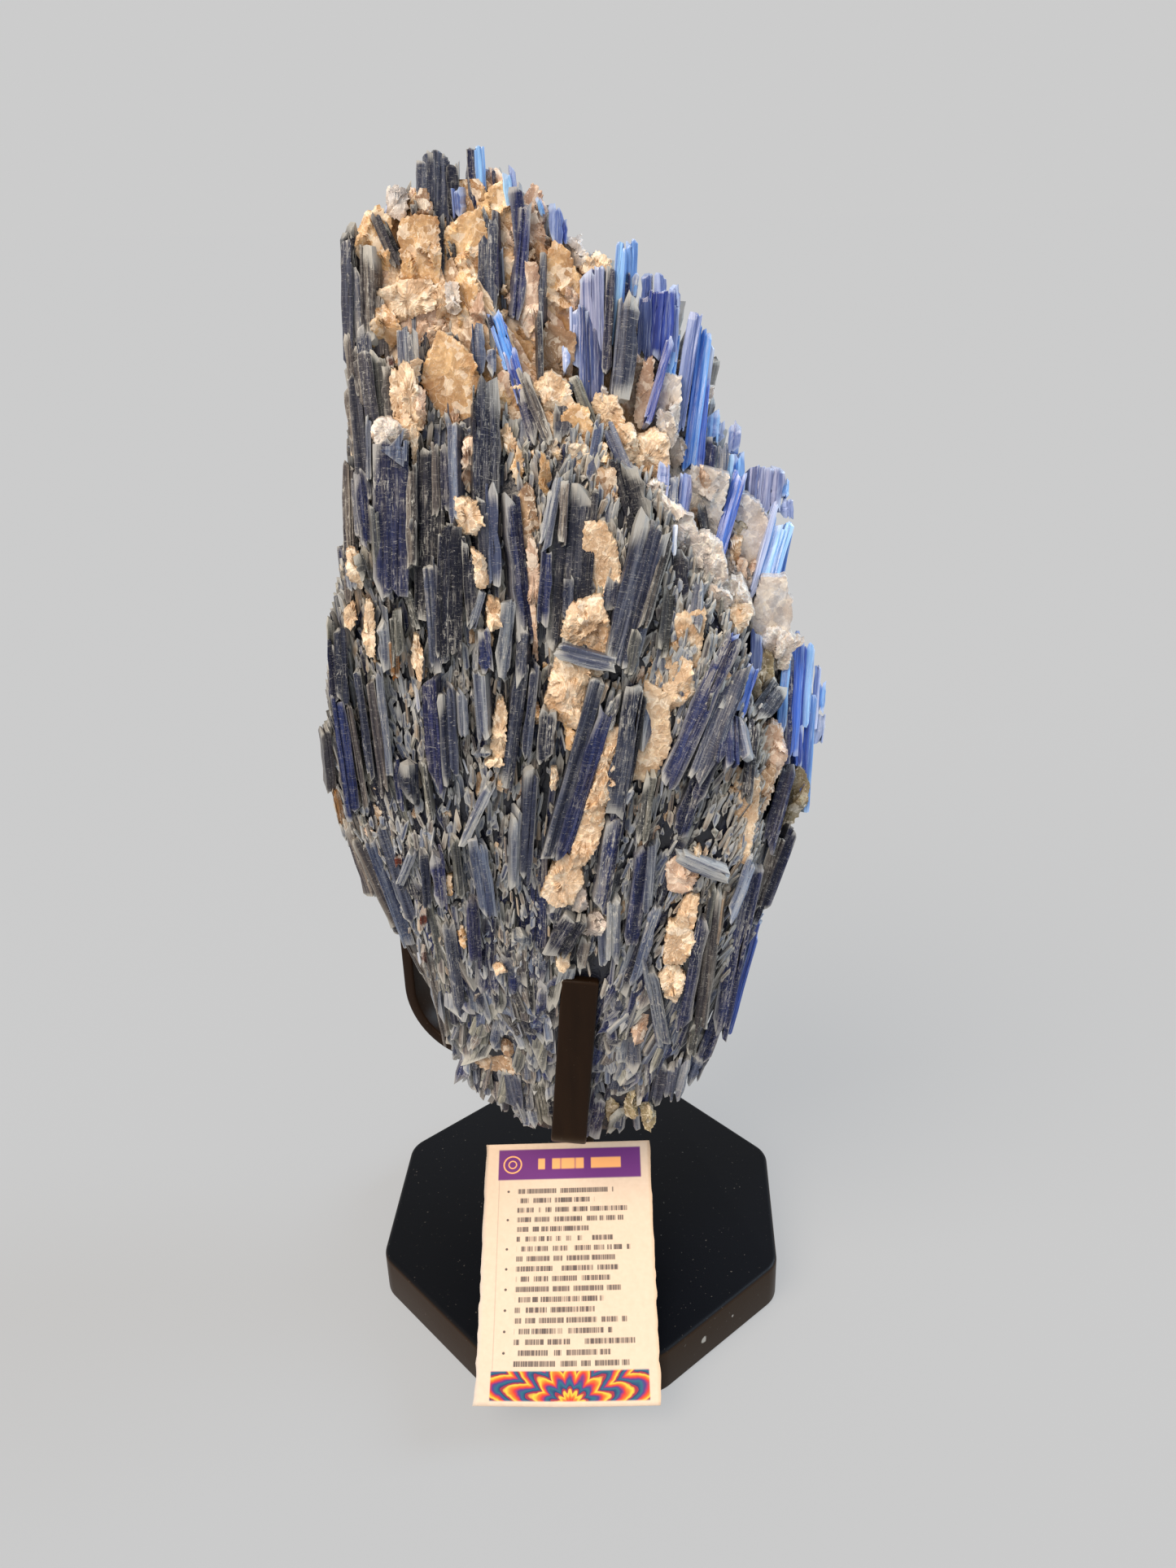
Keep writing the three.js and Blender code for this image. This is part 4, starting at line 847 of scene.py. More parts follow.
def skin_depth(x, z):
    """Where the lines of sight through places (x, z) of the plane y = 0 first meet a mass."""
    x, z = np.atleast_1d(x)[:, None], np.atleast_1d(z)[:, None]
    depths = np.arange(-60, 45, 0.5)[None]
    reach = nearness(depths)
    px, pz = EYE[0] + (x - EYE[0]) * reach, EYE[2] + (z - EYE[2]) * reach
    inside = np.zeros(px.shape, bool)
    for mass in (BACK_MASS, FRONT_MASS):
        left, right, front, back = faces_of(mass, pz)
        u = np.abs((px - left) / (right - left) * 2 - 1)
        v = np.abs((depths - front) / (back - front) * 2 - 1)
        inside |= (u ** BOXY + v ** BOXY < 1) & (pz > mass[0, 0]) & (pz < mass[-1, 0])
    return np.where(inside.any(axis=1), depths[0, np.argmax(inside, axis=1)], 99.0)


def placed_blade(laths, row):
    """A blade from a row of BLADES."""
    top_x, top_z, top_y, low_x, low_z, low_y, wide, finish, *end = row
    half = np.array([top_x - low_x, top_z - low_z]) / 2
    square = np.array([half[1], -half[0]]) / np.linalg.norm(half)
    taken.fill(
        (top_x + low_x) / 2, (top_z + low_z) / 2, half * KEPT_CLEAR, square * wide * KEPT_CLEAR / 2)
    # The whole face of the blade stands just clear of the masses.
    share, edge = (v.ravel() for v in np.meshgrid(np.linspace(0, 1, 6), (-0.4, 0.0, 0.4)))
    face_x = low_x + (top_x - low_x) * share + square[0] * edge * wide
    face_z = low_z + (top_z - low_z) * share + square[1] * edge * wide
    buried = low_y + (top_y - low_y) * share - skin_depth(face_x, face_z)
    forward = max(0.0, buried.max() + STAND_OFF)
    low_y, top_y = low_y - forward, top_y - forward
    low, top = sight(low_x, low_z, low_y), sight(top_x, top_z, top_y)
    if low_z > RIDGE[1, 1] and top_z - low_z < SHORT_BLADE:
        # The foot of a crown blade goes into the quartz round it.
        low = low + (low - top) * FOOT_RUN + (0, FOOT_DEPTH, 0)
    yaw = draw.normal(0, YAW_SPREAD)
    facing = (Matrix.Rotation(yaw, 3, "Z") @ Vector((EYE - (low + top) / 2) * (1, 1, 0))).normalized()
    bundle(laths, low, top, np.array(facing), wide * nearness((low_y + top_y) / 2), finish, *end)


# ---------------------------------------------------------------- the skin of small splinters

def lean_at(x, z):
    """How far the blades lean to the right, in degrees."""
    share = np.clip((z - 170) / 90, 0, 1)
    share = share * share * (3 - 2 * share)
    return (8 + 0.36 * x) * (1 - share) + (7 + 0.15 * x) * share


def skin_place(mass, turn, z):
    """Places on a mass: turn 0 looks along +X, a quarter turn along +Y."""
    left, right, front, back = faces_of(mass, z)
    u = np.sign(np.cos(turn)) * np.abs(np.cos(turn)) ** BOXY_TURN
    v = np.sign(np.sin(turn)) * np.abs(np.sin(turn)) ** BOXY_TURN
    return np.stack([left + (right - left) * (u + 1) / 2, front + (back - front) * (v + 1) / 2, z], axis=-1)


FRONT_TURNS = (math.pi, 2 * math.pi)
FRONT_AND_LEFT = (math.pi - 0.7, 2 * math.pi)
SLIVER_TURNS = (1.14 * math.pi, 1.88 * math.pi)
BACK_TURNS = (-0.35, math.pi + 0.35)
BACK_BLADE_TURNS = (-0.3, math.pi + 0.3)


def scatter(mass, count, turns):
    """Even random places on a mass between two turns, with the way out of the stone."""
    many = count * 6
    turn = draw.uniform(*turns, many)
    z = draw.uniform(mass[0, 0], mass[-1, 0], many)
    here = skin_place(mass, turn, z)
    step_turn = skin_place(mass, turn + 0.02, z) - here
    step_z = skin_place(mass, turn, np.minimum(z + 2, mass[-1, 0])) - here
    speed = np.linalg.norm(step_turn, axis=1)
    keep = draw.choice(many, count, replace=False, p=speed / speed.sum())
    out = unit(np.cross(step_turn, step_z)[keep])
    out[:, 2] *= 0.4
    return here[keep], unit(out)


# For each part of the stone: how often each finish comes up.
MIXES = {
    "pale": {"taupe": 4, "silver": 4, "tan": 2.5, "steel": 2, "slate": 2, "navy": 1.5, "jet": 1},
    "left": {"slate": 4, "taupe": 4, "navy": 4, "silver": 3, "olive": 2, "jet": 3, "tan": 1},
    "centre": {"slate": 4, "navy": 5.5, "silver": 3.5, "steel": 2.5, "olive": 1.6, "jet": 3, "taupe": 1.5},
    "right": {"navy": 7, "slate": 3.5, "violet": 2, "steel": 3.5, "silver": 1.5, "taupe": 1.5, "jet": 2},
    "low": {"slate": 5, "silver": 5, "taupe": 3.5, "olive": 3, "steel": 3, "navy": 2.5, "jet": 1.5},
    "crown": {"slate": 3, "navy": 2, "lilac": 2.5, "azure": 1.5, "taupe": 1.5, "royal": 1, "white": 0.6},
    "blue": {"azure": 4, "royal": 3, "lilac": 3.5, "navy": 1.5, "white": 1.2, "steel": 1.5},
    "back": {"navy": 5, "slate": 5, "violet": 1.6, "steel": 3, "silver": 2.5, "taupe": 2, "jet": 1.5},
}
# The same for the pale flakes, and for the form of a blade's top.
CHIPS = {"silver": 5, "taupe": 3, "steel": 3, "olive": 1, "tan": 1.5, "white": 0.2}
BLADE_ENDS = {"broken": 6, "square": 1, "slant": 2, "point": 2}
SIDE_ENDS = {"broken": 5, "square": 2, "slant": 2, "point": 1}


def choose(mix):
    """One of the names of a mix, as often as its number says."""
    names = list(mix)
    weights = np.array(list(mix.values()))
    return names[draw.choice(len(names), p=weights / weights.sum())]


def region(place, facing_back, behind_ridge):
    """Which of the MIXES a place takes its finishes from."""
    x, z = seen_at(place)
    if facing_back:
        return "back"
    if z < 118 + 0.2 * abs(x):
        return "low"
    if behind_ridge:
        return "blue" if x > 15 else "crown"
    if z > 312 and x < -8:
        return "pale"
    return "left" if x < -44 else ("right" if x > 34 else "centre")


def patchiness(x, z):
    """Broad darker and paler areas over the stone, from -1 to 1."""
    return (math.sin(0.11 * x + 0.034 * z + 1.1) + math.sin(0.05 * x - 0.061 * z + 2.3)
            + math.sin(0.19 * x + 0.013 * z)) / 3


def shattered(place, span):
    """How short and jumbled the blades are: 1 at the foot, less on the right where they run on."""
    share = np.clip((185 - place[2]) / span, 0, 1)
    return float(share * (1 - 0.75 * np.clip((place[0] - 28) / 15, 0, 1)))


# How deep splinters and flakes go into the stone.
SPLINTER_DEPTH, CHIP_DEPTH = 2.2, 1.0
# Long blades stop before a mass's side, which is at 1, and pass this far behind placed pieces.
ON_SIDE, BEHIND_PLACED = 0.97, 3.2
# Splinters that face further left than these have no placed pieces before them, or may draw back.
FAR_LEFT, LEFT = -0.75, -0.6
RETREATS = (0.0, 1.0, 1.0)


def splinters(laths, mass, count, turns, allowed, size=1.0, stand=1.0, headroom=0.0):
    """Small blades all over a mass, with one end standing out of it and the other rooted in it."""
    places, outs = scatter(mass, count, turns)
    for place, out in zip(places, outs):
        if not allowed(place):
            continue
        facing_back = out[1] > 0.5
        low_down = shattered(place, 50)
        patch = patchiness(place[0], place[2])
        length = (draw.uniform(10, 46) * (1 - low_down) + draw.uniform(7, 23) * low_down) * size
        wide = draw.lognormal(0.34 + 1.05 * low_down, 0.55 - 0.15 * low_down)
        wide = np.clip(wide, 0.6, 4.8 + 4.4 * low_down) * size
        high_up = float(np.clip((place[2] - 250) / 40, 0, 1))
        astray = draw.normal(16 * patch * low_down, 2.4 + 10 * low_down + 2.4 * high_up)
        lean = math.radians(lean_at(place[0], place[2]) + astray)
        along = unit(np.array([math.sin(lean), 0.0016 * place[1] + draw.normal(0, 0.02), math.cos(lean)]))
        out = unit(out - along * out.dot(along))
        side = np.cross(along, out)
        out = unit(out + side * draw.normal(0, 0.12 + 0.22 * low_down))
        place = place - out * (0.9 * (1 - low_down) * (not facing_back))
        proud, rooted = draw.uniform(0.1, 1.2 + 1.2 * low_down) * stand, -draw.uniform(0.3, 1.4)
        low_proud = draw.random() < (0.85 if place[2] < 250 else 0.3)
        rise = (proud, rooted) if low_proud else (rooted, proud)
        low = place - along * length / 2 + out * rise[0]
        top = place + along * length / 2 + out * rise[1]
        unseen = facing_back or out[0] < FAR_LEFT
        tested = 0 if unseen else 1 if mass is BACK_MASS and place[0] < 25 else 5
        # On the left a blade may draw back into the stone until it is inside the outline.
        for retreat in RETREATS if out[0] < LEFT else (0.0,):
            low, top = low - out * retreat, top - out * retreat
            hidden = hidden_or_outside(low, top + (0, 0, headroom), tested)
            if not hidden:
                break
        if hidden:
            continue
        finish = choose(MIXES[region(place, facing_back, mass is BACK_MASS)])
        tint = tone(finish, draw.normal(0.5 + 0.16 * low_down, 0.32) + 0.22 * patch)
        laths.add(
            low, top, out, wide, SPLINTER_DEPTH * size, tint,
            ends=draw.uniform(0.02, 0.55 + 0.3 * low_down, 2),
            tips=draw.uniform(0.8, 3.2, 2) * (1 - 0.75 * low_down),
            slope=draw.normal(0, 0.8), wear=draw.uniform(0.2, 1.0))


def front_depth(mass, x, z):
    """Depth of a mass's front face over (x, z), and how near its side that is: 1 on the side."""
    left, right, front, back = faces_of(mass, z)
    u = abs((x - left) / (right - left) * 2 - 1)
    return (front + back) / 2 - (back - front) / 2 * max(0.0, 1 - min(u, 1) ** BOXY) ** BOXY_ROOT, u


def long_blades(laths, mass, count, allowed):
    """The long blades that make up the front: their lower ends run down into the stone."""
    for place in scatter(mass, count, FRONT_TURNS)[0]:
        if not allowed(place):
            continue
        low_down = shattered(place, 60)
        length = draw.uniform(22, 84) * (1 - 0.4 * low_down)
        lean = lean_at(place[0], place[2]) + draw.normal(0, 2.4 + 6 * low_down)
        run = math.tan(math.radians(lean)) * length / 2
        ends = []
        for way in (-1, 1):
            x, z = place[0] + way * run, place[2] + way * length / 2
            y, near_side = front_depth(mass, x, z)
            ends.append(np.array([x, y, z]))
            if near_side > ON_SIDE:
                break
        if len(ends) < 2 or near_side > ON_SIDE:
            continue
        low, top = ends
        middle_y = front_depth(mass, (low[0] + top[0]) / 2, (low[2] + top[2]) / 2)[0]
        spots_x, spots_z = on_sheet(low + (top - low) * np.linspace(0, 1, 7)[:, None])
        behind = BEHIND_PLACED if taken.holds(spots_x, spots_z).any() else 0.0
        shift = min(0.0, middle_y - (low[1] + top[1]) / 2) - draw.uniform(-0.9, 0.5) + behind
        low[1] += shift
        top[1] += shift
        if meets_stand(low) or meets_stand(top) or not all(map(inside_outline, spots_x, spots_z)):
            continue
        out = np.array([draw.normal(0, 0.22) + 0.006 * (place[0] - 5), -1.0, 0.0])
        wide = np.clip(draw.lognormal(1.45, 0.45), 1.8, 12)
        finish = choose(MIXES[region(place, False, mass is BACK_MASS)])
        bundle(laths, low, top, out, wide, finish, choose(BLADE_ENDS))


def chips(laths, mass, count, turns, allowed):
    """Small pale flakes that cling to the faces of the blades."""
    for place, out in zip(*scatter(mass, count, turns)):
        if not allowed(place):
            continue
        lean = math.radians(lean_at(place[0], place[2]) + draw.normal(0, 9))
        along = unit(np.array([math.sin(lean), 0.0, math.cos(lean)]))
        out = unit(out - along * out.dot(along) + np.cross(along, out) * draw.normal(0, 0.3))
        length, middle = draw.uniform(1.5, 9), place + out * draw.uniform(0.0, 0.7)
        low, top = middle - along * length / 2 + out * draw.uniform(0, 0.5), middle + along * length / 2
        if hidden_or_outside(low, top, 0):
            continue
        laths.add(
            low, top, out, draw.uniform(0.5, 2.1), CHIP_DEPTH, tone(choose(CHIPS), draw.uniform(0.3, 1)),
            ends=draw.uniform(0.02, 0.5, 2), tips=draw.uniform(0.5, 1.5, 2),
            slope=draw.normal(0, 0.8), wear=1.0)


def side_blades(laths, count, turns):
    """Larger blades on the back and the sides, standing a little out of the stone."""
    for place, out in zip(*scatter(BACK_MASS, count, turns)):
        length = draw.uniform(24, 62) * (0.65 if place[2] < 130 or place[2] > 350 else 1)
        lean = math.radians(lean_at(place[0], place[2]) + draw.normal(0, 2.5))
        along = unit(np.array([math.sin(lean), 0.0016 * place[1] + draw.normal(0, 0.02), math.cos(lean)]))
        middle = place + out * draw.uniform(0.8, 4.0)
        low, top = middle - along * length / 2, middle + along * length / 2 - out * draw.uniform(0, 2)
        if hidden_or_outside(low, top, 0 if out[1] > 0.5 else 3):
            continue
        bundle(
            laths, low, top, out, draw.uniform(3.0, 8.5), choose(MIXES["back"]), choose(SIDE_ENDS))


# How near a blade may come to a prong: at its sides, over its tip and arm, and inside its upright.
BESIDE_BAR, OVER_BAR, INSIDE_BAR = 1.2, 1.0, 0.8


def meets_stand(place):
    """Whether a place is in or just outside one of the three prongs."""
    for bar in PRONGS.values():
        heading = math.radians(bar["heading"])
        x, y = place[0] - HUB[0], place[1] - HUB[1]
        away = x * math.cos(heading) + y * math.sin(heading)
        twisted = (place[2] - ARM_Z) * math.tan(math.radians(bar["twist"]))
        off = -x * math.sin(heading) + y * math.cos(heading) - twisted
        beside = abs(off) < BAR_WIDE / 2 + BESIDE_BAR and away > 0 and place[2] < bar["tip"] + OVER_BAR
        upright = away > bar["reach"] - BAR_THICK - INSIDE_BAR
        if beside and (upright or place[2] < ARM_Z + BAR_THICK + OVER_BAR):
            return True
    return False


def hidden_or_outside(low, top, tested):
    """Whether a blade would break the outline, or stand where a placed piece shows.

    tested: how many of its middle, lower end, upper end and quarter points must keep off the
    placed pieces.
    """
    spots = np.stack([(low + top) / 2, low, top, low * 0.75 + top * 0.25, low * 0.25 + top * 0.75])
    x, z = on_sheet(spots)
    if taken.holds(x[:tested], z[:tested]).any():
        return True
    return not all(inside_outline(x[k], z[k]) and not meets_stand(spots[k]) for k in range(3))


# ---------------------------------------------------------------- quartz

def shard_rim(wide, high, count):
    """Points round a broken piece: some straight sides with a slightly ragged edge."""
    corners = draw.integers(6, 10)
    angle = (np.arange(corners) + draw.uniform(-0.36, 0.36, corners)) * 2 * math.pi / corners
    boxy = 1 / (np.abs(np.cos(angle)) ** 3 + np.abs(np.sin(angle)) ** 3) ** 0.333
    radius = boxy * draw.uniform(0.7, 1.16, corners)
    loop = np.stack([np.cos(angle) * radius * wide / 2, np.sin(angle) * radius * high / 2], axis=1)
    loop = np.concatenate([loop, loop[:1]])
    run = np.concatenate([[0], np.cumsum(np.linalg.norm(np.diff(loop, axis=0), axis=1))])
    spots = np.linspace(0, run[-1], count, endpoint=False)
    rim = np.stack([np.interp(spots, run, loop[:, k]) for k in (0, 1)], axis=1)
    return rim + draw.normal(0, 0.24, rim.shape)


# The face of a large lump in square millimetres, and the spacing of a lump's points.
LARGE_LUMP, LUMP_PITCH = 110, 0.7
# How much of a lump's size, each way from its middle, is kept clear of blades.
CLEAR_UPPER_RIGHT, CLEAR_LARGE, CLEAR_SMALL = 0.6, 0.47, 0.4


def broken_face(flat, wide, high, sugary):
    """Heights of a face of a few broad planes that meet in edges, roughened by small broken cells.

    Also gives the number of planes, the plane of each point and how far its cell stands out.
    """
    planes = int(np.clip(wide * high / (20 if sugary else 13), 4, 18))
    spread = draw.uniform(-0.42, 0.42, (planes, 2)) * (wide, high)
    steep = spread / (wide, high) * 0.5 + draw.normal(0, 0.3 if sugary else 0.36, (planes, 2))
    crests = min(wide, high) * 0.06 + draw.normal(0, 0.35, planes)
    levels = crests[None] - np.sum((flat[:, None] - spread[None]) * steep[None], axis=2)
    own_plane = np.argmin(levels, axis=1)
    height = levels[np.arange(len(flat)), own_plane]
    cells = max(3, int(wide * high / (9 if sugary else 18)))
    seeds = draw.uniform(-0.55, 0.55, (cells, 2)) * (wide, high)
    nearest = np.argmin(np.linalg.norm((flat[:, None] - seeds[None]) * (1.3, 0.75), axis=2), axis=1)
    slopes = draw.normal(0, 0.3, (cells, 2))
    lifts = draw.normal(0, 0.26 if sugary else 0.35, cells)
    height += lifts[nearest] + np.sum((flat - seeds[nearest]) * slopes[nearest], axis=1)
    height = np.clip(height, -2.2, min(wide, high) * 0.4)
    height += draw.normal(0, 0.05 if sugary else 0.02, len(flat))
    return height, planes, own_plane, lifts[nearest]


def lump_faces(around, across):
    """Faces of a lump: a fan round its middle, rings out to the rim and down its sides, and a tail."""
    last = 1 + across * around
    faces = [(0, 1 + i, 1 + (i + 1) % around) for i in range(around)]
    for k in range(across):
        a = 1 + k * around
        for i in range(around):
            j = (i + 1) % around
            faces.append((a + i, a + around + i, a + around + j, a + j))
    return faces + [(last + (i + 1) % around, last + i, last + around) for i in range(around)]


def quartz_lump(row, grids):
    """A broken lump: facets like a cracked face, an angular rim and sides that run into the stone."""
    x, z, y, wide, high, lean, finish = row
    sugary, large = finish in SUGARY, wide * high > LARGE_LUMP
    tilt = math.radians(lean)
    kept_clear = CLEAR_UPPER_RIGHT if x > 18 and z > 262 else CLEAR_LARGE if large else CLEAR_SMALL
    taken.fill_box(x, z, wide, high, tilt, kept_clear)
    spots_x = x + np.array([0, 0.35, -0.35, 0, 0]) * wide
    spots_z = z + np.array([0, 0, 0, 0.35, -0.35]) * high
    skin = np.sort(skin_depth(spots_x, spots_z))
    y = min(y, np.mean(skin[:2]) - 0.6 if large else np.mean(skin[:3]) - 0.8 * (wide < 4))
    reach = nearness(y)
    grown = 1.34 + 0.1 * sugary if wide > 6 else 1.16
    wide, high = wide * reach * grown, high * reach * (grown - 0.04)
    around = int(np.clip(2 * (wide + high) / LUMP_PITCH, 20, 96))
    across = int(np.clip(min(wide, high) / 2 / LUMP_PITCH, 3, 12))
    rim = shard_rim(wide, high, around)
    flat = np.concatenate([np.zeros((1, 2))] + [rim * (k / across) for k in range(1, across + 1)])
    flat[1:-around] += draw.normal(0, 0.1, (len(flat) - around - 1, 2))
    height, planes, own_plane, lifted = broken_face(flat, wide, high, sugary)
    height[-around:] -= 0.25
    right = np.array([math.cos(tilt), 0, -math.sin(tilt)])
    up = np.array([math.sin(tilt), 0, math.cos(tilt)])
    middle = sight(x, z, y + (0.2 if large else 1.2))
    facing = unit((EYE - middle) * (1, 1, 0.25))
    front = middle + flat[:, :1] * right + flat[:, 1:] * up + height[:, None] * facing
    sides = front[-around:] - facing * (3.5 + 0.3 * wide)
    tail = middle - facing * (5 + 0.3 * wide)
    dark, pale = QUARTZ_FINISHES[finish]
    # Each plane takes its own shade of the finish; cells that stand out are painted paler, a painted
    # highlight, and the sides and tail darker, a painted shade.
    shades = draw.normal(0.6, 0.2, planes)
    share = np.clip(shades[own_plane] + lifted * 0.8, 0, 1)
    share = np.concatenate([share, np.full(around + 1, 0.3)])
    verts = np.concatenate([front, sides, tail[None]])
    grids.append((verts, lump_faces(around, across), dark + (pale - dark) * share[:, None]))


def merged(name, grids, material):
    """One mesh of several, each given as points, faces and the colours of its points."""
    verts, faces, tints, start = [], [], [], 0
    for points, loops, tint in grids:
        verts.append(points)
        tints.append(tint)
        faces += [tuple(start + k for k in loop) for loop in loops]
        start += len(points)
    thing = new_object(name, np.concatenate(verts), faces, material)
    paint_points(thing, tint=np.concatenate(tints))
    return thing


# ---------------------------------------------------------------- the stone behind the blades

CORE_AROUND, CORE_ROWS = 190, 170
CORE_INSET = 2.4
# How many broken cells a mass has, and the radius of the tube that they are spread over.
CORE_CELLS, CORE_REACH = 900, 50
# Height from which a mass is quartz all round.
CROWN_FROM = 318
CROWN_STONE = {"amber": 4, "cream": 2, "pink": 2, "brown": 3}


def tube_faces(rows, count):
    """Faces over rows of count points each, closed at both ends."""
    faces = []
    for r in range(rows - 1):
        for i in range(count):
            j = (i + 1) % count
            faces.append((r * count + i, r * count + j, (r + 1) * count + j, (r + 1) * count + i))
    faces.append(tuple(reversed(range(count))))
    faces.append(tuple((rows - 1) * count + i for i in range(count)))
    return faces


def core_part(mass):
    """The mass itself: the darkest slate between the blades, painted shade for the gaps, and broken quartz
    with broad facets at the crown.
    """
    z = np.linspace(mass[0, 0], mass[-1, 0], CORE_ROWS)
    turn = np.linspace(0, 2 * math.pi, CORE_AROUND, endpoint=False)
    turns, heights = np.meshgrid(turn, z)
    turns, heights = turns.ravel(), heights.ravel()
    skin = skin_place(mass, turns, heights)
    middle = skin.reshape(CORE_ROWS, CORE_AROUND, 3).mean(axis=1).repeat(CORE_AROUND, axis=0)
    out = unit(skin - middle)
    flat = np.stack([turns * CORE_REACH, heights], axis=1)
    x, z_seen = on_sheet(skin)
    over_ridge = np.where(out[:, 1] < 0.2, z_seen - ridge_at(x), -99)
    high_up = (skin[:, 2] - CROWN_FROM - 10 * np.sin(3 * turns)) / 14
    crown = np.clip(np.maximum(high_up, over_ridge / 6), 0, 1)
    clear = np.clip((x - 22) / 16, 0, 1)[:, None]
    cells = CORE_CELLS
    seed_turns = draw.uniform(0, 2 * math.pi * CORE_REACH, cells)
    seeds = np.stack([seed_turns, draw.uniform(mass[0, 0], mass[-1, 0], cells)], axis=1)
    nearest = np.concatenate([
        np.argmin(np.linalg.norm((part[:, None] - seeds[None]) * (1, 0.75), axis=2), axis=1)
        for part in np.array_split(flat, 20)])
    slopes, lifts = draw.normal(0, 0.34, (cells, 2)), draw.normal(0, 1.1, cells)
    facet = lifts[nearest] + np.sum((flat - seeds[nearest]) * slopes[nearest], axis=1)
    push = np.clip(facet, -3.0, 2.2) * crown - CORE_INSET + draw.normal(0, 0.06, len(flat))
    verts = skin + out * push[:, None]
    names = [choose(CROWN_STONE) for _ in range(cells)]
    dark, pale = (np.array([QUARTZ_FINISHES[name][k] for name in names]) for k in (0, 1))
    stone = dark + (pale - dark) * np.clip(draw.normal(0.62, 0.2, cells), 0, 1)[:, None]
    pale_stone = linear((176, 178, 184)) * draw.uniform(0.6, 1.1, (cells, 1))
    seen = stone[nearest] * (1 - clear) + pale_stone[nearest] * clear
    crown = crown[:, None]
    # Below the crown the stone takes the darkest slate: painted shade in the gaps between the blades.
    return verts, tube_faces(CORE_ROWS, CORE_AROUND), tone("slate", 0.0) * (1 - crown) + seen * crown


# ---------------------------------------------------------------- the stand

BOARD_ACROSS, BOARD_THICK = 152.4, 19.05
BOARD_CORNER, BOARD_EDGE = 12.0, 1.8
BAR_WIDE, BAR_THICK, BAR_EDGE = 12.7, 4.8, 0.9
# Middle of the post: x, y.
HUB = (-1.6, 3.2)
ARM_Z = 78.0
GAP = 0.3
# How far out each prong turns up, the height of its tip, its twist and heading in degrees, and the
# radius of its bend.
PRONGS = {
    "front_prong": dict(reach=43.2, tip=152, twist=5.3, heading=-90, bend=9),
    "left_prong": dict(reach=73, tip=147, twist=0, heading=157, bend=26),
    "right_prong": dict(reach=62, tip=138, twist=0, heading=38, bend=22),
}
CORNER_POINTS, POST_POINTS = 9, 48
TIP_ROUND = 1.3


def loft(rings):
    """Points and faces of a solid over rings that all have the same number of points."""
    return np.concatenate(rings), tube_faces(len(rings), len(rings[0]))


def rounded_steps(low, high, radius, steps=6):
    """Insets and heights of an upright side with rounded edges."""
    quarter = np.linspace(0, math.pi / 2, steps)
    lower = [(radius * (1 - math.sin(a)), low + radius * (1 - math.cos(a))) for a in quarter]
    upper = [(radius * (1 - math.cos(a)), high - radius * (1 - math.sin(a))) for a in quarter]
    return lower + upper


def board(material):
    """An octagon with round corners and edges."""
    corners = np.repeat(math.pi / 8 + np.arange(8) * math.pi / 4, CORNER_POINTS)
    turns = corners + np.tile(np.linspace(-math.pi / 8, math.pi / 8, CORNER_POINTS), 8)
    centre = (BOARD_ACROSS / 2 - BOARD_CORNER) / math.cos(math.pi / 8)
    rings = []
    for inset, z in rounded_steps(0, BOARD_THICK, BOARD_EDGE):
        radius = BOARD_CORNER - inset
        x = centre * np.cos(corners) + radius * np.cos(turns)
        y = centre * np.sin(corners) + radius * np.sin(turns)
        rings.append(np.stack([x, y, np.full(len(x), z)], axis=1))
    return new_object("octagon_board", *loft(rings), material, smooth=True)


def post(material):
    turns = np.linspace(0, 2 * math.pi, POST_POINTS, endpoint=False)
    rings = []
    for inset, z in rounded_steps(BOARD_THICK + GAP, ARM_Z + BAR_THICK, BAR_EDGE, 4):
        radius = BAR_WIDE / 2 - inset
        x, y = HUB[0] + radius * np.cos(turns), HUB[1] + radius * np.sin(turns)
        rings.append(np.stack([x, y, np.full(POST_POINTS, z)], axis=1))
    return new_object("round_post", *loft(rings), material, smooth=True)


def prong(name, material, reach, tip, twist, heading, bend):
    """A flat bar that runs out from the post, turns up and ends in a rounded tip."""
    half = BAR_THICK / 2
    centre = (reach - bend, ARM_Z + bend)
    flat_run = reach - bend - BAR_WIDE / 2 - GAP
    path = [(BAR_WIDE / 2 + GAP + s * flat_run, ARM_Z + half, 0) for s in (0, 0.5)]
    for a in np.linspace(0, math.pi / 2, 17):
        path.append((centre[0] + (bend - half) * math.sin(a), centre[1] - (bend - half) * math.cos(a), a))
    rise = np.linspace(ARM_Z + bend, tip - TIP_ROUND, 6)[1:]
    path += [(reach - half, z, math.pi / 2) for z in rise]
    insets = [0.0] * len(path)
    for a in np.linspace(0.25, math.pi / 2, 5):
        path.append((reach - half, tip - TIP_ROUND * (1 - math.sin(a)), math.pi / 2))
        insets.append(TIP_ROUND * (1 - math.cos(a)))
    outline = []
    for quadrant in range(4):
        for a in np.linspace(0, math.pi / 2, 4) + quadrant * math.pi / 2:
            corner_a = (half - BAR_EDGE) * (1 if quadrant in (0, 3) else -1)
            corner_b = (BAR_WIDE / 2 - BAR_EDGE) * (1 if quadrant in (0, 1) else -1)
            outline.append((corner_a + BAR_EDGE * math.cos(a), corner_b + BAR_EDGE * math.sin(a)))
    outline = np.array(outline)
    rings = []
    for (x, z, a), inset in zip(path, insets):
        trim = outline - np.sign(outline) * np.minimum(inset, np.abs(outline) * 0.8)
        # Across the thickness points down and outwards on the outer side of the bend.
        rings.append(np.stack([
            x + trim[:, 0] * math.sin(a), trim[:, 1], z - trim[:, 0] * math.cos(a)], axis=1))
    verts, faces = loft(rings)
    turn = (Matrix.Translation((HUB[0], HUB[1], 0)) @ Matrix.Rotation(math.radians(heading), 4, "Z")
            @ Matrix.Translation((0, 0, ARM_Z)) @ Matrix.Rotation(math.radians(-twist), 4, "X")
            @ Matrix.Translation((0, 0, -ARM_Z)))
    placed = verts @ np.array(turn)[:3, :3].T + np.array(turn)[:3, 3]
    return new_object(name + "_bar", placed, faces, material, smooth=True)


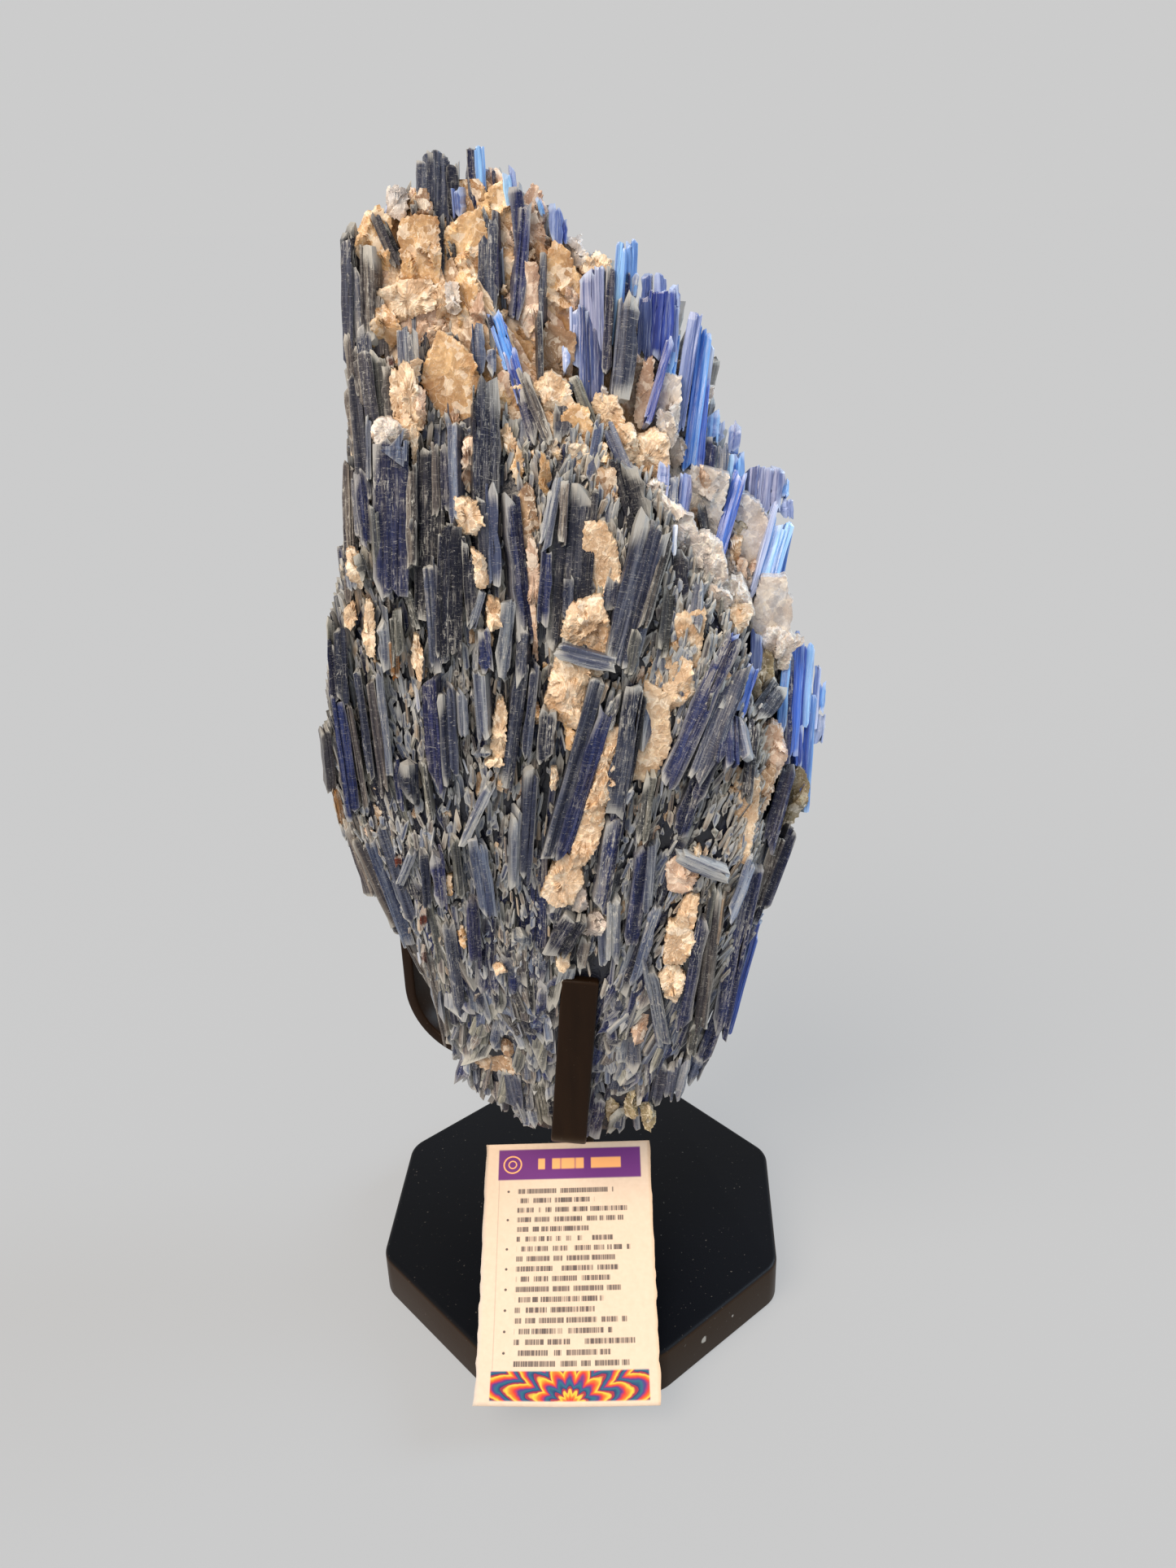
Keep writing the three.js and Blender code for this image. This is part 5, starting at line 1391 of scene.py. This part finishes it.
# Places in metres where the board's paint is chipped, and how large the chips are.
CHIPPED_SPOTS = [((0.0475, -0.0602, 0.0100), 0.0018), ((0.0585, -0.0492, 0.0105), 0.0009)]


def board_paint():
    """Black paint with dust and two chipped places; the faint blue on the top and the brown on the sides
    are painted reflections of the cool and the warm light, and the pale edges are partly wear and partly a
    painted highlight.
    """
    kit = Kit("black_board_paint")
    place = kit.place()
    brush = kit.noise(place, (30.0, 160.0, 160.0), 3.0, 0.5)
    fog = kit.noise(place, 22.0, 3.0, 0.5)
    specks = kit.noise(place, 900.0, 2.0, 0.5)
    normal = kit.add("ShaderNodeNewGeometry", output=1)
    facing = kit.add("ShaderNodeSeparateXYZ", None, {0: normal}, output=2)
    edge = kit.sharpness()
    # The faint blue of the top is a painted reflection of the cool light.
    top = kit.mix(fog, linear((2, 3, 6)), linear((5, 8, 16)))
    # The brown of the sides is a painted reflection of the warm light.
    reflection_tinted = kit.mix(1 - facing.math("ABSOLUTE").over(0.3, 0.8), top, linear((42, 29, 17)))
    # Pale edges: partly wear, partly a painted highlight.
    black = kit.mix(edge.over(0.52, 0.6) * 0.3, reflection_tinted, linear((90, 78, 64)))
    dusty = kit.mix(specks.over(0.70, 0.76) * 0.35, black, linear((120, 116, 110)))
    chips = 0
    ragged = kit.noise(place, 700.0, 2.0, 0.6)
    for spot, size in CHIPPED_SPOTS:
        away = kit.add("ShaderNodeVectorMath", {"operation": "DISTANCE"}, {0: place, 1: spot}, output=1)
        chips = chips + (1 - (away + ragged * 0.0016).over(size, size + 0.0006))
    chipped = kit.mix(chips * 0.8, dusty, linear((176, 172, 164)))
    height = brush * 0.6 + specks * 0.2
    return kit.finish(
        Base_Color=chipped, Roughness=0.34 + 0.14 * fog, Normal=kit.bump(height, 0.0003, 0.25),
        Specular_IOR_Level=0.12)


def prong_paint():
    """Dark brown paint, dusty in places, its pale edges partly worn and partly a painted highlight."""
    kit = Kit("dark_prong_paint")
    place = kit.place()
    flow = kit.noise(place, (200.0, 200.0, 40.0), 3.0, 0.55)
    pits = kit.noise(place, 1300.0, 2.0, 0.5)
    edge = kit.sharpness()
    brown = kit.mix(flow, linear((22, 12, 5)), linear((38, 24, 12)))
    # Pale edges: partly worn paint, partly a painted highlight.
    worn_and_highlit = kit.mix(edge.over(0.53, 0.6) * 0.35, brown, linear((96, 72, 48)))
    dusty = kit.mix(pits.over(0.70, 0.78) * 0.3, worn_and_highlit, linear((130, 120, 104)))
    return kit.finish(
        Base_Color=dusty, Roughness=0.30 + 0.16 * flow, Normal=kit.bump(pits * 0.5 + flow, 0.0002, 0.3),
        Specular_IOR_Level=0.11)


# ---------------------------------------------------------------- the label card

CARD_WIDE, CARD_TALL, CARD_THICK = 64.3, 97.0, 0.34
CARD_TOP = np.array([-4.9, -4.2, 52.0])
CARD_NORMAL = np.array([0.0094, -0.4057, 0.9139])
CARD_TURN = math.radians(3.24)
CARD_COLUMNS, CARD_ROWS = 44, 66
CURL_HIGH, WAVE_HIGH, BULGE_HIGH, CARD_CLEAR = 4.2, 0.5, 0.9, 0.12


def card(material):
    """A thin sheet that leans back, its lower left corner curled up and its two sides ragged."""
    normal = unit(CARD_NORMAL)
    across = unit(np.cross((0, 1, 0), normal))
    upward = np.cross(normal, across)
    u, v = np.meshgrid(np.linspace(0, 1, CARD_COLUMNS + 1), np.linspace(0, 1, CARD_ROWS + 1))
    u, v = u.ravel(), v.ravel()
    rough = np.interp(v, np.linspace(0, 1, 40), draw.normal(0, 0.16, 40)) * (np.abs(u - 0.5) > 0.499)
    x = (u - 0.5) * CARD_WIDE + rough
    y = -v * CARD_TALL
    curl = CURL_HIGH * np.clip((v - 0.66) / 0.34, 0, 1) ** 2 * np.clip((0.5 - u) / 0.5, 0, 1) ** 1.6
    bulge = BULGE_HIGH * np.clip((v - 0.8) / 0.2, 0, 1) ** 2 * np.sin(u * math.pi)
    wave = WAVE_HIGH * np.sin(u * 5 + 1) * v + bulge
    lift = CARD_CLEAR + curl + np.maximum(wave, 0)
    turned_x = x * math.cos(CARD_TURN) - y * math.sin(CARD_TURN)
    turned_y = x * math.sin(CARD_TURN) + y * math.cos(CARD_TURN)
    sheet = CARD_TOP + turned_x[:, None] * across + turned_y[:, None] * upward
    under = sheet + lift[:, None] * normal
    over = under + CARD_THICK * normal
    half = len(u)
    stride = CARD_COLUMNS + 1
    faces = []
    for r in range(CARD_ROWS):
        for c in range(CARD_COLUMNS):
            a = r * stride + c
            faces.append((a + stride, a + stride + 1, a + 1, a))
            faces.append((half + a, half + a + 1, half + a + stride + 1, half + a + stride))
    edge = (list(range(stride)) + [r * stride + CARD_COLUMNS for r in range(1, CARD_ROWS + 1)]
            + [CARD_ROWS * stride + c for c in range(CARD_COLUMNS - 1, -1, -1)]
            + [r * stride for r in range(CARD_ROWS - 1, 0, -1)])
    for a, b in zip(edge, edge[1:] + edge[:1]):
        faces.append((half + a, half + b, b, a))
    # The first half of the points is the printed face.
    thing = new_object("curled_label_card", np.concatenate([over, under]), faces, material, smooth=True)
    page = np.stack([np.tile(u, 2), np.tile(v, 2), np.repeat([1.0, 0.0], half)], axis=1)
    paint_points(thing, page=page)
    return thing


# Places on the card are shares of its width and height, from the upper left corner.
TEXT_TOP, TEXT_BOTTOM, TEXT_LINES = 0.182, 0.872, 18
BULLET_LINES = (0, 3, 6, 8, 10, 12, 14, 16)
LINE_TALL = (TEXT_BOTTOM - TEXT_TOP) / TEXT_LINES
BAND_LEFT, BAND_RIGHT = 0.08, 0.94
ORNAMENT = [
    (0.0, (26, 34, 96)), (0.18, (20, 96, 118)), (0.32, (70, 44, 120)), (0.48, (206, 40, 36)),
    (0.64, (238, 120, 30)), (0.78, (246, 196, 60)), (0.9, (150, 34, 60)),
]
CARD_SHAPE = CARD_WIDE / CARD_TALL


def flat_noise(kit, across, down, detail):
    place = kit.add("ShaderNodeCombineXYZ", None, {0: across, 1: down})
    sockets = {"Vector": place, "Scale": 1.0, "Detail": detail}
    return kit.add("ShaderNodeTexNoise", {"noise_dimensions": "2D"}, sockets)


def distance(x, y):
    return (x * x + y * y) ** 0.5


def card_header(kit, page, u, v):
    """Purple, with a ring at the left and plain bars in place of a title."""
    ring = distance((u - 0.165) * CARD_SHAPE, v - 0.089)
    crest = ring.within(0.032, 0.0375, 0.0012) + ring.within(0.013, 0.0175, 0.0012)
    title_words = kit.noise(kit.scaled(page, (17.0, 0.0, 0.0)), 1.0, 0.0).over(0.40, 0.46)
    title = u.within(0.32, 0.82) * v.within(0.066, 0.110) * title_words
    return kit.mix(crest + title, linear((104, 40, 118)), linear((250, 178, 112)))


def card_writing(kit, u, v, face):
    """Where grey is printed: lines of dashes, dots before some of them and a rule at the left."""
    line = (v - TEXT_TOP) * (TEXT_LINES / (TEXT_BOTTOM - TEXT_TOP))
    number = line.math("FLOOR")
    inside = line - number
    seat = kit.add("ShaderNodeTexWhiteNoise", {"noise_dimensions": "1D"}, {"W": number})
    letters = flat_noise(kit, u * 170.0, number * 3.7, 1.0)
    words = flat_noise(kit, u * 26.0, number * 5.3 + 40.0, 0.0)
    rows = v.within(TEXT_TOP, TEXT_BOTTOM, 0.002) * face
    reach = 0.62 + 0.26 * seat
    strip = inside.within(0.24, 0.76, 0.05) * u.over(0.198, 0.202) * (1 - (u - reach).over(-0.004, 0.004))
    dashes = rows * strip * words.over(0.33, 0.38) * (0.35 + 0.65 * letters.over(0.38, 0.55))
    dots = 0
    for bullet in BULLET_LINES:
        dots = dots + number.within(bullet - 0.5, bullet + 0.5, 0.1)
    dot = distance((u - 0.145) * CARD_SHAPE, (inside - 0.5) * LINE_TALL)
    bullets = dots * rows * (1 - dot.over(0.004, 0.006))
    rule = u.within(0.085, 0.090, 0.002) * v.within(0.153, TEXT_BOTTOM) * face * 0.3
    return dashes + bullets + rule


def card_ornament(kit, page, u, v):
    """Bright rings round a point below the card, drawn in like petals."""
    away_x, away_y = (u - 0.51) * CARD_SHAPE, 0.995 - v
    petals = (away_y.math("ARCTAN2", away_x) * 7.0).math("SINE").math("ABSOLUTE")
    wash = kit.noise(page, (14.0, 21.0, 1.0), 2.0, 0.5)
    rings = (distance(away_x, away_y) * (15.0 - 4.0 * petals) + wash * 0.5).math("FRACT")
    stops = [(place, linear(colour)) for place, colour in ORNAMENT]
    return kit.add("ShaderNodeValToRGB", {"stops": stops}, {0: rings})


def card_print():
    """Cream card: a purple header, grey dashes in place of writing and a bright ornament below."""
    kit = Kit("printed_card")
    page = kit.attribute("page", "Vector")
    u = kit.add("ShaderNodeSeparateXYZ", None, {0: page})
    v, side = (Wire(kit, u.socket.node.outputs[k]) for k in (1, 2))
    face = side.over(0.4, 0.6)
    band = u.within(BAND_LEFT, BAND_RIGHT)
    pulp = kit.noise(kit.place(), 500.0, 4.0, 0.6)
    paper = kit.mix(pulp, linear((212, 188, 164)), linear((228, 206, 184)))
    written = kit.mix(card_writing(kit, u, v, face) * 0.95, paper, linear((78, 68, 66)))
    headed = kit.mix(band * v.within(0.025, 0.153) * face, written, card_header(kit, page, u, v))
    printed = kit.mix(band * v.within(0.878, 0.982) * face, headed, card_ornament(kit, page, u, v))
    return kit.finish(Base_Color=printed, Roughness=0.62 + 0.1 * pulp, Normal=kit.bump(pulp, 0.0001, 0.4))


# ---------------------------------------------------------------- stage

FLOOR_HALF, FLOOR_Z = 30000, -0.2
FLOOR_TINT, FLOOR_GLOW = (0.118, 0.124, 0.131), (0.413, 0.413, 0.413)
AIR = (0.604, 0.604, 0.604, 1)
WARM, COOL = (1.0, 0.83, 0.66), (0.66, 0.83, 1.0)


def sun(name, azimuth, height, strength, colour, spread):
    """A broad soft light: azimuth 0 shines from the front, 90 from the right."""
    data = bpy.data.lights.new(name, "SUN")
    data.energy = strength
    data.color = colour
    data.angle = math.radians(spread)
    light = bpy.data.objects.new(name, data)
    a, e = math.radians(azimuth), math.radians(height)
    towards = Vector((math.sin(a) * math.cos(e), -math.cos(a) * math.cos(e), math.sin(e)))
    light.rotation_mode = "QUATERNION"
    light.rotation_quaternion = towards.to_track_quat("Z", "Y")
    bpy.context.scene.collection.objects.link(light)


def stage():
    kit = Kit("pale_studio_floor")
    floor_material = kit.finish(
        Base_Color=FLOOR_TINT, Roughness=0.95, Specular_IOR_Level=0.0,
        Emission_Color=FLOOR_GLOW, Emission_Strength=1.0)
    verts = [(x * FLOOR_HALF, y * FLOOR_HALF, FLOOR_Z) for x, y in ((-1, -1), (1, -1), (1, 1), (-1, 1))]
    floor = new_object("studio_floor", verts, [(0, 1, 2, 3)], floor_material)
    world = bpy.data.worlds.new("studio_air")
    world.use_nodes = True
    background = world.node_tree.nodes["Background"]
    background.inputs["Color"].default_value = AIR
    background.inputs["Strength"].default_value = 1.0
    bpy.context.scene.world = world
    bpy.context.scene.view_settings.view_transform = "Standard"
    sun("warm_key", azimuth=-36, height=48, strength=3.3, colour=WARM, spread=44)
    sun("cool_window", azimuth=104, height=30, strength=2.1, colour=COOL, spread=28)


# ---------------------------------------------------------------- putting it together

def ride(thing, slot, *nodes):
    """Nothing moves: every piece rides on the one body."""
    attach(thing, "root")
    if nodes:
        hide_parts(*nodes)


# How often each quartz comes up, by where its lumps grow between the placed ones.
LUMP_MIXES = {
    "crown": {"cream": 2, "amber": 4, "pink": 3, "brown": 2.5},
    "crown right": {"pink": 2, "white": 5, "cream": 1, "olive": 1.5},
    "front": {"cream": 3, "pink": 4, "brown": 3, "amber": 2},
    "ridge": {"amber": 3, "cream": 3, "pink": 1},
    "ridge right": {"white": 4, "cream": 3, "amber": 1.5, "mauve": 1.5},
}
# How many of each kind are tried. Many are turned down, because something stands there already.
LUMP_COUNT, SMALL_LUMP_COUNT, SLIVER_COUNT = 900, 1500, 330
LONG_COUNT, SPLINTER_COUNT, CROWN_COUNT, FLAKE_COUNT = 1500, 5200, 1700, 5200
SIDE_COUNT, BACK_COUNT = 420, 2200
# Rows of points along a lath of a placed blade, a long one and a splinter.
PLACED_RINGS, LONG_RINGS, SPLINTER_RINGS = 7, 5, 4
# Height where the lower splinters end and the upper ones begin.
UPPER_FROM = 190


def filler_quartz(count, milky, amber, across=(5, 12), along=(6, 17), proud=0.4):
    """Smaller lumps between the blades of the crown and behind the ridge."""
    for place in scatter(BACK_MASS, count, FRONT_TURNS)[0]:
        x, z = seen_at(place)
        if not above_ridge(place) or not inside_outline(x, z) or taken.holds(x, z) or x > 70:
            continue
        finish = choose(LUMP_MIXES["crown" if x < 25 else "crown right"])
        wide, high = draw.uniform(*across), draw.uniform(*along)
        if all(inside_outline(x + p * wide / 2, z + q * high / 2) for p, q in ((-1, 0), (1, 0), (0, 1.2))):
            row = (x, z, place[1] - proud, wide, high, draw.normal(4, 14), finish)
            quartz_lump(row, milky if finish in SUGARY else amber)


def slivers(count, milky, amber):
    """Narrow strips of quartz that show between the blades of the front."""
    for place in scatter(FRONT_MASS, count, SLIVER_TURNS)[0]:
        x, z = seen_at(place)
        if z < 150 or above_ridge(place) or not inside_outline(x, z) or taken.holds(x, z):
            continue
        if meets_stand(place):
            continue
        finish = choose(LUMP_MIXES["front"])
        wide, high = draw.uniform(1.6, 3.8), draw.uniform(4, 14)
        if x > 2 and z > ridge_at(x) - 24:
            finish = choose(LUMP_MIXES["ridge right" if x > 28 else "ridge"])
            wide, high = draw.uniform(4, 8), draw.uniform(5, 10)
        row = (x, z, place[1] - 0.3, wide, high, lean_at(place[0], place[2]) + draw.normal(0, 5), finish)
        quartz_lump(row, milky if finish in SUGARY else amber)


def placed_blades(fibrous, clear):
    """The dark openings are kept free, and the blades of the table stand round them."""
    for *box, lean in HOLES:
        taken.fill_box(*box, math.radians(lean))
    blades, clear_blades = Laths(), Laths()
    for row in BLADES:
        placed_blade(clear_blades if row[7] in CLEAR_FINISHES else blades, row)
    ride(blades.build("kyanite_blades", fibrous, PLACED_RINGS), "kyanite", "kyanite_specimen")
    ride(clear_blades.build("clear_blades", clear, PLACED_RINGS), "kyanite")


def quartz():
    """The lumps of the table, then smaller ones between them."""
    milky, amber, glassy = [], [], []
    for row in QUARTZ:
        quartz_lump(row, milky if row[-1] in SUGARY else amber if row[-1] in SMOOTH else glassy)
    filler_quartz(LUMP_COUNT, milky, amber)
    filler_quartz(SMALL_LUMP_COUNT, milky, amber, across=(1.6, 3.6), along=(2, 7), proud=1.6)
    slivers(SLIVER_COUNT, milky, amber)
    for name, grids, finish in (
            ("milky_quartz", milky, dict(rough=0.34, see_through=0.0, grit=1.0)),
            ("amber_quartz", amber, dict(rough=0.16, see_through=0.0, grit=0.4)),
            ("glassy_quartz", glassy, dict(rough=0.10, see_through=0.12, grit=0.4))):
        ride(merged(name, grids, quartz_material(name, **finish)), "kyanite")


def grown_blades(fibrous, clear):
    """What follows the grain of the stone between the placed pieces, and covers its back."""
    long, lower, upper, crown, back, flakes = (Laths() for _ in range(6))
    long_blades(long, FRONT_MASS, LONG_COUNT, lambda p: not above_ridge(p))
    ride(long.build("long_blades", fibrous, LONG_RINGS), "kyanite")
    splinters(lower, FRONT_MASS, SPLINTER_COUNT, FRONT_AND_LEFT, lambda p: p[2] < UPPER_FROM)
    ride(lower.build("lower_splinters", fibrous, SPLINTER_RINGS), "kyanite")
    splinters(upper, FRONT_MASS, SPLINTER_COUNT, FRONT_AND_LEFT,
              lambda p: p[2] >= UPPER_FROM and not above_ridge(p))
    ride(upper.build("upper_splinters", fibrous, SPLINTER_RINGS), "kyanite")
    splinters(crown, BACK_MASS, CROWN_COUNT, FRONT_TURNS,
              lambda p: above_ridge(p) and draw.random() < (0.7 if p[0] > 38 else 0.4), headroom=9)
    ride(crown.build("crown_splinters", clear, SPLINTER_RINGS), "kyanite")
    chips(flakes, FRONT_MASS, FLAKE_COUNT, FRONT_TURNS,
          lambda p: p[2] > 140 + 30 * draw.random() and not above_ridge(p))
    ride(flakes.build("pale_flakes", fibrous, SPLINTER_RINGS), "kyanite")
    side_blades(back, SIDE_COUNT, BACK_BLADE_TURNS)
    splinters(back, BACK_MASS, BACK_COUNT, BACK_TURNS, lambda p: True, size=1.5, stand=1.3)
    ride(back.build("back_blades", fibrous, LONG_RINGS), "kyanite")


def specimen():
    fibrous, clear = kyanite_material(), clear_kyanite_material()
    placed_blades(fibrous, clear)
    quartz()
    grown_blades(fibrous, clear)
    core = [core_part(BACK_MASS), core_part(FRONT_MASS)]
    matrix = quartz_material("stone_matrix", rough=0.22, see_through=0.0, grit=0.5)
    ride(merged("stone_core", core, matrix), "kyanite")


def stand():
    black = board_paint()
    brown = prong_paint()
    ride(board(black), "board_paint", "base_plate")
    ride(post(black), "board_paint", "post")
    for name, sizes in PRONGS.items():
        ride(prong(name, brown, **sizes), "prong_paint", name)
    ride(card(card_print()), "card_paper", "label_card")


make_camera()
stage()
stand()
specimen()
